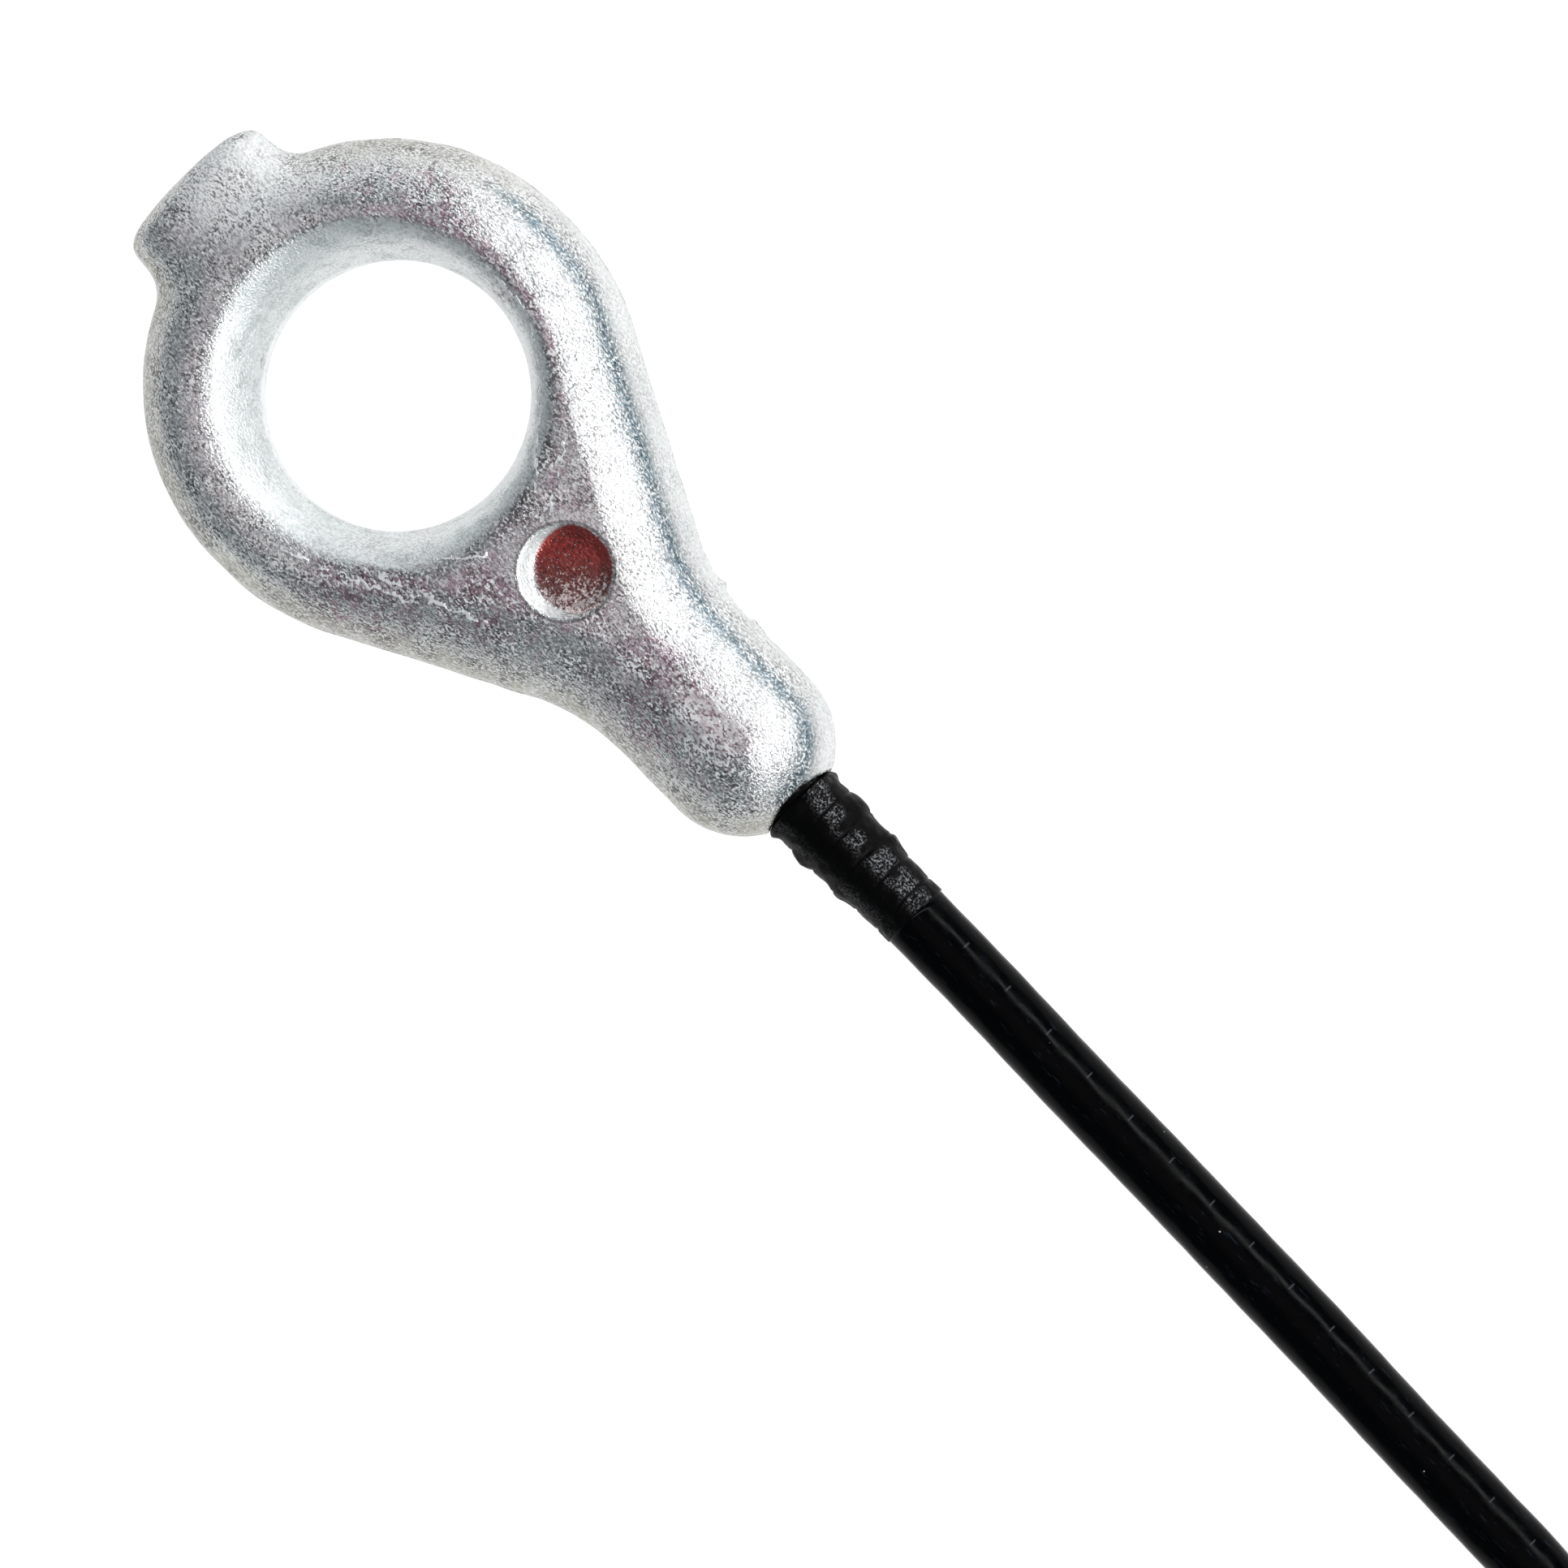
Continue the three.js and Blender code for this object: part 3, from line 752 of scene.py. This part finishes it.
def onto_surface(field, points, step):
    """Moves the points straight to the surface, less than a cell away."""
    for _ in range(3):
        slope = slope_of(field, points)
        size = np.maximum((slope**2).sum(1), 1e-6)
        move = -(field(*points.T) / size)[:, None] * slope
        length = np.linalg.norm(move, axis=1, keepdims=True)
        points = points + move * np.minimum(1, 0.5 * step / np.maximum(length, 1e-9))
    return points


def cast_relief(points, outline):
    """Height of the casting's own unevenness at each point, in millimetres."""
    relief = 0.03 * noise(points, 3.1, 3) + 0.01 * noise(points, 1.1, 4) + 0.003 * noise(points, 0.5, 5)
    seam = 1 - smooth_step(np.abs(points[:, 2] - 0.1 * noise(points, 6, 8)), 0.05, 0.28)
    outer = smooth_step(outline, -0.6, -0.2)
    flash = 0.08 + 0.03 * noise(points, 1.5, 9)
    for x, reach in NECK_BURRS:
        near = np.exp(-(((points[:, 0] - x) / reach) ** 4)) * (points[:, 1] > 0)
        flash = flash + near * (0.22 + 0.2 * noise(points, 0.5, 12))
    return relief + seam * outer * flash


def cast_surface(points, normal):
    """The points moved out by the unevenness, except in the hollow for the rope."""
    relief = cast_relief(points, eye_outline(points[:, 0], points[:, 1]))
    hidden = np.hypot(points[:, 1], points[:, 2]) < CABLE_RADIUS + 0.6
    relief = np.where(hidden & (points[:, 0] > NECK_START), 0, relief)
    shaped = points + normal * relief[:, None]
    shaped[:, 2] = np.clip(shaped[:, 2], -THICKNESS / 2, THICKNESS / 2 + TOP_ROOM)
    return shaped


def skin_maps(points, normal):
    """The values of SKIN_MAPS at each point."""
    x, y, z = points.T
    nx, ny, nz = normal.T
    radius = np.hypot(x, y)
    from_mark = np.hypot(x - MARK_X, y)
    inward = -(nx * x + ny * y) / radius
    rightward = (nx + ny) / math.sqrt(2)
    stained = np.hypot(x - MARK_X - STAIN_FROM_MARK[0], y - STAIN_FROM_MARK[1])
    mark = 1 - smooth_step(stained, MARK_RADIUS - 0.3, MARK_RADIUS - 0.1)
    mark = mark * (z > 3) * (from_mark < MARK_RADIUS)
    bore = smooth_step(inward, 0.25, 0.6) * (radius < 14.5)
    outer = smooth_step(1 - np.abs(nz), 0.1, 0.5) * (1 - bore)
    # Grime and painted shade: sides darkened most on the lower left, and hardly where they face the
    # lamps at the right.
    grime_and_side_shade = outer * (0.75 + 0.25 * smooth_step(-ny, -0.2, 0.5))
    grime_and_side_shade = grime_and_side_shade * (1 - 0.9 * smooth_step(rightward, 0.25, 0.6))
    # Pale bore wall, plus painted highlight on the rims that face the lamps at the right and on the lit
    # side of the pin mark's wall.
    crescent = (from_mark < MARK_RADIUS) * smooth_step(-nz, -0.95, -0.8)
    pale_bore_and_painted_highlight = np.maximum(bore, 0.6 * smooth_step(rightward, 0.6, 0.78))
    pale_bore_and_painted_highlight = np.maximum(pale_bore_and_painted_highlight, crescent * smooth_step(rightward, -0.1, 0.2))
    # Painted reflection: a teal band on slopes tilted about 42 degrees towards the lamps, off the bore
    # and the mark.
    painted_teal_reflection = np.exp(-(((nz - 0.74) / 0.075) ** 2)) * smooth_step(rightward, 0.25, 0.45) * (1 - bore)
    painted_teal_reflection = painted_teal_reflection * (from_mark > MARK_RADIUS + 0.5) * (x > -13)
    # Painted shade: the lip on the right-hand stretch of the bore, sloping away from the lamps.
    towards = x * math.cos(LIP_SHADE_TOWARDS) + y * math.sin(LIP_SHADE_TOWARDS)
    painted_lip_shade = np.exp(-(((inward - 0.22) / 0.14) ** 2)) * smooth_step(towards / radius, 0.6, 0.9)
    painted_lip_shade = painted_lip_shade * (radius < 13)
    # Painted highlight: one except on slopes that face the lamps at the right, where bloom, bruises and
    # pepper are thinned so that the highlight stays clean white.
    off_painted_highlight = 1 - 0.9 * smooth_step(rightward, 0.12, 0.3)
    return mark, grime_and_side_shade, pale_bore_and_painted_highlight, painted_teal_reflection, painted_lip_shade, off_painted_highlight


def make_eye(name, node, centre, step):
    margin = 2.5 * step  # so that no flat face lies on a plane of the grid
    low = (STUB_END - margin, -RING_RADIUS - margin, -THICKNESS / 2 - margin)
    high = (NECK_END + margin, RING_RADIUS + margin, THICKNESS / 2 + margin)
    points, faces = surface_net(eye_field, low, high, step)
    normal = slope_of(eye_field, points)
    normal /= np.linalg.norm(normal, axis=1, keepdims=True)
    skin = [("eye_place", points), *zip(SKIN_MAPS, skin_maps(points, normal))]
    piece = add_mesh(name, cast_surface(points, normal) + centre, faces, ZINC, skin)
    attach(piece, "root")
    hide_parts(node)
    return piece


FINE_STEP, COARSE_STEP = ((0.2, 0.26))
make_eye("cast_eye", "eye_casting", NEAR_EYE, FINE_STEP)
far_eye = make_eye("far_cast_eye", "far_eye_casting", FAR_EYE, COARSE_STEP)

# ---- Gripped sheath ----
COLLAR_SIDES = 96
COLLAR_LOBES = ((2.9, 0.8), (6.2, 0.7))  # behind the casting's skin: place and half length
SHEEN_BANDS = ((62, 20, 1.0), (140, 14, 0.25))  # painted sheen: bearing, half width in degrees and strength of a strong band turned to the lamps and a faint one on the other side


def ring_of(x, radius, angle):
    return np.stack(np.broadcast_arrays(x, radius * np.cos(angle), radius * np.sin(angle)), -1)


def bell(value, middle, reach, power=2):
    """One at the middle, falling to nothing some way past the reach."""
    return np.exp(-(((value - middle) / reach) ** power))


def past_square(x):
    """Distance from the nearest groove between two pressed squares."""
    return np.abs(np.mod(x - COLLAR_SHOWS - 0.9, GRIP_PITCH) - GRIP_PITCH / 2)


def collar_radius(x, angle):
    """The sheath's outside where the die pressed it: lip, lobes on the parting line, grooves."""
    away = x - COLLAR_SHOWS
    radius = CABLE_RADIUS + 0.08 + 0.27 * (1 - smooth_step(away, 2, 9.5))
    lobes = sum(bell(away, middle, reach) for middle, reach in COLLAR_LOBES)
    sides = np.abs(np.cos(angle)) ** 6
    groove = bell(past_square(x), 0, 0.1) * (away > 0.6)
    return radius + 0.12 * bell(away, 0.35, 0.4) + 0.26 * lobes * sides - 0.08 * groove


def collar_surface():
    """Rings of points along the outside of the gripped sheath, ragged where it shows."""
    end = COLLAR_END + 0.32
    xs = np.concatenate([np.arange(COLLAR_START, end, 0.1), [end]])
    turn = 2 * np.pi * np.arange(COLLAR_SIDES) / COLLAR_SIDES
    x, angle = np.meshgrid(xs, turn, indexing="ij")
    shows = x > COLLAR_SHOWS - 0.05
    radius = np.where(shows, collar_radius(x, angle), CABLE_RADIUS + 0.2)
    at = ring_of(x, radius, angle)
    ragged = 0.05 * noise(at, 0.7, 51) + 0.03 * noise(at, 0.35, 52)
    lip_ragged = 0.35 * bell(x, COLLAR_SHOWS + 0.3, 0.4) * np.maximum(noise(at, 0.9, 53), 0)
    outside = ring_of(x, radius + shows * (ragged + lip_ragged), angle)
    inside = [ring_of(edge, SHEATH_INNER + 0.02, turn)[None] for edge in (end, COLLAR_START)]
    return np.concatenate([outside, *inside])


def sheen_on_squares(points):
    """From 0 to 1 where the pressed squares are painted grey as sheen, in bands turned towards the
    lamps.
    """
    bearing = np.degrees(np.arctan2(points[:, 2], points[:, 1]))
    turned_up = sum(strength * bell(bearing, middle, reach, 4) for middle, reach, strength in SHEEN_BANDS)
    squares = smooth_step(past_square(points[:, 0]), 0.08, 0.2)
    return np.clip(turned_up * squares * smooth_step(noise(points, 1.1, 61), -0.5, 0.3), 0, 1)


def make_collar(name, node, centre):
    rings = collar_surface()
    points = rings.reshape(-1, 3)
    faces = faces_between(len(rings) + 1, COLLAR_SIDES) % len(points)
    skin = [("eye_place", points), ("painted_sheen", sheen_on_squares(points))]
    piece = add_mesh(name, points + centre, faces, GRIPPED, skin)
    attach(piece, "root")
    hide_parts(node)
    return piece


make_collar("gripped_sheath", "sheath_collar", NEAR_EYE)
far_collar = make_collar("far_gripped_sheath", "far_sheath_collar", FAR_EYE)

# ---- The coated rope ----
# The route's free stretches are those of the CAD model, in metres.
LEAD_ROUTE = [
    (0.0351, 0, 0.0052),
    (0.042, -0.0001, 0.00515),
    (0.050, -0.00035, 0.0047),
    (0.058, -0.00055, 0.0039),
    (0.066, -0.0008, 0.003),
    (0.074, -0.001, 0.00255),
    (0.082, -0.0013, 0.00245),
    (0.090, -0.0015, 0.00245),
    (0.096, -0.00175, 0.00255),
    (0.1019, -0.0031, 0.0031),
    (0.1057, -0.0049, 0.0036),
]
TAIL_ROUTE = [
    (0.1503, -0.0145, 0.0089),
    (0.158, -0.0145, 0.0092),
    (0.165, -0.01445, 0.01),
    (0.1723, -0.0142, 0.0113),
    (0.179, -0.0127, 0.0128),
    (0.1847, -0.0091, 0.0142),
    (0.1886, -0.0036, 0.0156),
    (0.1898, 0.0031, 0.0168),
    (0.1883, 0.0098, 0.0177),
    (0.1842, 0.0157, 0.01815),
    (0.1788, 0.0193, 0.0183),
    (0.1745, 0.0205, 0.0183),
    (0.1706, 0.0207, 0.0183),
]
HANK_NEAR = np.array([128.3, 14.7])  # millimetres: the centre of the hank's near bend
HANK_STRAIGHT = 44.0
HANK_HEIGHTS = (3.95, 8.85)
HANK_TURNS = ((3, 0), (2, 0), (1, 0), (0, 0), (0, 1), (1, 1), (2, 1))  # column and layer of each
LAST_PLACE = (3, 1)
CROSSING = (95.0, 260.0)  # degrees of the near bend in which a turn moves to its next place
CROSSING_SQUEEZE = 1.8  # how far the turn that changes layer is pushed inward


def arc(centre, radius, angle):
    return centre + radius * np.array([math.cos(math.radians(angle)), math.sin(math.radians(angle))])


def hank_turns():
    """Points of all the turns, from the lead's joining point to the tail's start."""
    far = HANK_NEAR + [HANK_STRAIGHT, 0]
    route = []
    for angle in (230, 240, 250, 260):
        route.append([*arc(HANK_NEAR, INNER_TURN + 3 * TURN_PITCH, angle), HANK_HEIGHTS[0]])
    for turn, (column, layer) in enumerate(HANK_TURNS):
        radius, height = INNER_TURN + TURN_PITCH * column, HANK_HEIGHTS[layer]
        for along in (0, 0.25, 0.5, 0.75):
            route.append([HANK_NEAR[0] + along * HANK_STRAIGHT, HANK_NEAR[1] - radius, height])
        for angle in range(-90, 90, 15):
            route.append([*arc(far, radius, angle), height])
        for along in (1, 0.75, 0.5, 0.25):
            route.append([HANK_NEAR[0] + along * HANK_STRAIGHT, HANK_NEAR[1] + radius, height])
        to_column, to_layer = (HANK_TURNS + (LAST_PLACE,))[turn + 1]
        to_radius, to_height = INNER_TURN + TURN_PITCH * to_column, HANK_HEIGHTS[to_layer]
        for angle in range(90, 270, 12):
            moved = float(smooth_step(angle, *CROSSING))
            squeeze = CROSSING_SQUEEZE * math.sin(math.pi * moved) * (layer != to_layer)
            here = radius + (to_radius - radius) * moved - squeeze
            route.append([*arc(HANK_NEAR, here, angle), height + (to_height - height) * moved])
    for along in (0, 0.25):
        route.append([HANK_NEAR[0] + along * HANK_STRAIGHT, TAIL_ROUTE[0][1] / MM, HANK_HEIGHTS[1]])
    return np.array(route) * MM


def smooth_route(route, fine, coarse, fine_until):
    """An even run of points on a smooth curve through the route: fine at first, then coarse."""
    p = np.vstack([2 * route[0] - route[1], route, 2 * route[-1] - route[-2]])
    gap = np.sqrt(np.linalg.norm(np.diff(p, axis=0), axis=1))
    knots = np.concatenate([[0], np.cumsum(gap)])
    dense = []
    for i in range(1, len(p) - 2):
        t0, t1, t2, t3 = knots[i - 1 : i + 3]
        t = np.linspace(t1, t2, 60, endpoint=False)[:, None]
        a1 = (t1 - t) / (t1 - t0) * p[i - 1] + (t - t0) / (t1 - t0) * p[i]
        a2 = (t2 - t) / (t2 - t1) * p[i] + (t - t1) / (t2 - t1) * p[i + 1]
        a3 = (t3 - t) / (t3 - t2) * p[i + 1] + (t - t2) / (t3 - t2) * p[i + 2]
        b1 = (t2 - t) / (t2 - t0) * a1 + (t - t0) / (t2 - t0) * a2
        b2 = (t3 - t) / (t3 - t1) * a2 + (t - t1) / (t3 - t1) * a3
        dense.append((t2 - t) / (t2 - t1) * b1 + (t - t1) / (t2 - t1) * b2)
    dense = np.vstack([*dense, route[-1]])
    along = np.concatenate([[0], np.cumsum(np.linalg.norm(np.diff(dense, axis=0), axis=1))])
    rest = int((along[-1] - fine_until) / coarse)
    start = np.arange(0, fine_until - fine / 2, fine)
    at = np.concatenate([start, np.linspace(fine_until, along[-1], rest)])
    return np.stack([np.interp(at, along, dense[:, i]) for i in range(3)], 1), at


def steady_frames(path):
    """Two directions across the path, at right angles, that never twist about it."""
    tangent = np.gradient(path, axis=0)
    tangent /= np.linalg.norm(tangent, axis=1, keepdims=True)
    side = np.zeros_like(path)
    side[0] = np.cross([0, 0, 1], tangent[0])
    for i in range(1, len(path)):
        carried = side[i - 1] - tangent[i] * side[i - 1].dot(tangent[i])
        side[i] = carried / np.linalg.norm(carried)
    return side, np.cross(tangent, side)


CABLE_SIDES = 40
STRANDS = 6
RIPPLE = 0.008  # how far the strands under the sheath show, in millimetres
TABLE_GAP = 0.02


def make_cable():
    route = np.vstack([LEAD_ROUTE, hank_turns(), TAIL_ROUTE])
    path, along = smooth_route(route, fine=0.0004, coarse=0.0012, fine_until=0.095)
    side, up = steady_frames(path)
    turn = 2 * np.pi * np.arange(CABLE_SIDES) / CABLE_SIDES
    s = along[:, None] / MM
    strands = np.cos(STRANDS * (turn - 2 * np.pi * s / STRAND_LAY))
    at = ring_of(s, 6, turn)
    uneven = 0.012 * noise(at, 9, 71) + 0.002 * noise(at, 2.5, 72)
    radius = CABLE_RADIUS - 0.02 + RIPPLE * strands + uneven
    out = side[:, None] * np.cos(turn)[:, None] + up[:, None] * np.sin(turn)[:, None]
    rings = path[:, None] / MM + out * radius[..., None]
    rings[..., 2] = np.maximum(rings[..., 2], TABLE_GAP)
    points = rings.reshape(-1, 3)
    faces = faces_between(len(path), CABLE_SIDES).tolist()
    faces.append(list(range(CABLE_SIDES)))
    faces.append(list(range(len(points) - CABLE_SIDES, len(points)))[::-1])
    place = ring_of(s, CABLE_RADIUS, turn).reshape(-1, 3)
    piece = add_mesh("coated_rope", points, faces, SHEATH, [("run_place", place)])
    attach(piece, "root")
    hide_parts("cable_lead", "cable_hank", "cable_tail")
    return piece, path


cable, cable_path = make_cable()

# ---- Cable ties ----
TIE_GAP = 0.05  # between the turns and the strap's inner line
TIE_CORNER = 2.45
TIE_GROOVE = 0.8  # how thick the strap is between its two raised edges
TIE_HALF = TIE_WIDTH / 2
TIE_SECTION = (  # across the strap and out from the turns
    (-TIE_HALF, 0.1),
    (-TIE_HALF + 0.25, 0.02),
    (TIE_HALF - 0.25, 0.02),
    (TIE_HALF, 0.1),
    (TIE_HALF, 0.85),
    (TIE_HALF - 0.2, 1.05),
    (TIE_HALF - 0.8, 1.1),
    (TIE_HALF - 0.95, TIE_GROOVE),
    (-TIE_HALF + 0.95, TIE_GROOVE),
    (-TIE_HALF + 0.8, 1.1),
    (-TIE_HALF + 0.2, 1.05),
    (-TIE_HALF, 0.85),
)
TOOTH_STEP = 0.35  # a third of the way from one tooth to the next, at least
TOOTH_RISE = 0.16
HEAD_CORNER = 0.8


def strap_line(y0, y1, z0, z1):
    """The strap's inner line round the turns: points (y, z) with the direction out of them."""
    loop = []
    left, right, bottom, top = y0 + TIE_CORNER, y1 - TIE_CORNER, z0 + TIE_CORNER, z1 - TIE_CORNER
    for y, z, first in ((right, bottom, -90), (right, top, 0), (left, top, 90), (left, bottom, 180)):
        for angle in np.linspace(first, first + 90, 11):
            ny, nz = math.cos(math.radians(angle)), math.sin(math.radians(angle))
            loop.append(np.array([y + TIE_CORNER * ny, z + TIE_CORNER * nz, ny, nz]))
    line = []
    for here, ahead in zip(loop, loop[1:] + loop[:1]):
        count = max(1, int(np.hypot(*(ahead - here)[:2]) / TOOTH_STEP))
        line += [here + (ahead - here) * k / count for k in range(count)]
    return line


def make_tie(name, node, side):
    """A nylon strap round the hank's run, with rounded corners and teeth outside, and its head."""
    low, high = box_mm(node)
    mid_x = (low[0] + high[0]) / 2
    inner = HANK_NEAR[1] + side * (INNER_TURN - TURN_PITCH / 2)
    outer = HANK_NEAR[1] + side * (INNER_TURN + 3.5 * TURN_PITCH)
    z0 = HANK_HEIGHTS[0] - CABLE_RADIUS - TIE_GAP
    z1 = HANK_HEIGHTS[1] + CABLE_RADIUS + TIE_GAP
    line = strap_line(*sorted((inner, outer)), z0, z1)
    points = []
    for i, (y, z, ny, nz) in enumerate(line):
        for across, out in TIE_SECTION:
            tooth = TOOTH_RISE if i % 3 == 0 and out == TIE_GROOVE else 0
            points.append((mid_x + across, y + ny * (out + tooth), z + nz * (out + tooth)))
    faces = faces_between(len(line) + 1, len(TIE_SECTION)) % len(points)
    strap = add_mesh(name, points, faces, TIE, smooth=False)
    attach(strap, "root")
    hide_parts(node)
    head = make_tie_head(name + "_head", mid_x, inner, -side, (z0 + z1) / 2)
    head.parent = strap
    return strap


def make_tie_head(name, mid_x, face_y, out, mid_z):
    """The ratchet head: a block with rounded corners, a foot and a tapered top."""
    points = []
    for height, grow in ((0.1, 0.0), (0.5, 0.25), (3.2, 0.25), (4.0, -0.2)):
        for to_x, to_z, first in ((1, 1, 0), (-1, 1, 90), (-1, -1, 180), (1, -1, 270)):
            for angle in np.radians(np.linspace(first, first + 90, 5)):
                points.append((mid_x + to_x * (1.6 + grow) + HEAD_CORNER * math.cos(angle),
                               face_y + out * height,
                               mid_z + to_z * (2.0 + grow) + HEAD_CORNER * math.sin(angle)))
    around = len(points) // 4
    faces = faces_between(4, around).tolist()
    faces += [list(range(around))[::-1], list(range(3 * around, 4 * around))]
    if out > 0:
        faces = [face[::-1] for face in faces]
    head = add_mesh(name, points, faces, TIE, smooth=False)
    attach(head, "root")
    return head


ties = [make_tie("cable_tie_1", "hank_tie_1", -1), make_tie("cable_tie_2", "hank_tie_2", 1)]

# ---- Pieces that keep their CAD shape ----


def paint(node, material):
    shape = bpy.data.objects[node]
    shape.data.materials.clear()
    shape.data.materials.append(material)
    return shape


def paint_rope_end(prefix):
    strands = [f"{prefix}rope_strand_{number}" for number in range(1, STRANDS + 1)]
    steel = [paint(node, STEEL) for node in (prefix + "rope_core_strand", *strands)]
    return [paint(prefix + "anchor_ferrule", COPPER), *steel]


paint_rope_end("")
far_inner = paint_rope_end("far_")

# ---- Table and lights ----


def make_table():
    half, z = 3.0, -0.0002
    mesh = bpy.data.meshes.new("table")
    corners = [(-half, -half, z), (half, -half, z), (half, half, z), (-half, half, z)]
    mesh.from_pydata(corners, [], [(0, 1, 2, 3)])
    mesh.materials.append(table_white())
    table = bpy.data.objects.new("table", mesh)
    bpy.context.collection.objects.link(table)


def soft_light(name, place, long_way, length, height, radiance, colour):
    """A rectangular light that faces the picture's middle as squarely as its long way lets it.

    Its place is how far it stands right, up and above of that middle, in metres.
    """
    right, up, above = place
    offset = right * PICTURE_RIGHT + up * PICTURE_UP + above * Vector((0, 0, 1))
    back = (offset - offset.dot(long_way) * long_way).normalized()
    data = bpy.data.lights.new(name, "AREA")
    data.shape = "RECTANGLE"
    data.size, data.size_y = length, height
    data.energy = radiance * math.pi * length * height
    data.color = colour
    lamp = bpy.data.objects.new(name, data)
    bpy.context.collection.objects.link(lamp)
    turn = Matrix((long_way, back.cross(long_way), back)).transposed().to_4x4()
    lamp.matrix_world = Matrix.Translation(Vector(VIEW_CENTRE * MM) + offset) @ turn


make_table()
soft_light("bar", place=(0.35, 0.25, 0.345), long_way=PICTURE_UP, length=1.40, height=0.085,
           radiance=9.0, colour=(1.0, 1.0, 0.99))
soft_light("upper", place=(0.05, 0.60, 0.13), long_way=PICTURE_RIGHT, length=0.90, height=0.16,
           radiance=1.3, colour=(0.98, 0.99, 1.0))
soft_light("left", place=(-0.38, 0.24, 0.38), long_way=PICTURE_UP, length=0.50, height=0.25,
           radiance=0.16, colour=(0.98, 0.98, 1.0))


def make_surroundings():
    """A dim room with a paler ceiling straight above."""
    world = bpy.data.worlds.new("surroundings")
    world.use_nodes = True
    nodes, links = world.node_tree.nodes, world.node_tree.links
    direction = nodes.new("ShaderNodeTexCoord")
    towards = nodes.new("ShaderNodeVectorMath")
    towards.operation = "DOT_PRODUCT"
    links.new(direction.outputs["Generated"], towards.inputs[0])
    towards.inputs[1].default_value = (0, 0, 1)
    ramp = nodes.new("ShaderNodeValToRGB")
    ramp.color_ramp.interpolation = "EASE"
    room, ceiling = ramp.color_ramp.elements
    room.position, room.color = 0.85, (0.19, 0.225, 0.24, 1)
    ceiling.position, ceiling.color = 0.985, (0.68, 0.605, 0.635, 1)
    links.new(towards.outputs["Value"], ramp.inputs["Fac"])
    links.new(ramp.outputs["Color"], nodes["Background"].inputs["Color"])
    bpy.context.scene.world = world


make_surroundings()
bpy.context.scene.view_settings.view_transform = "Standard"
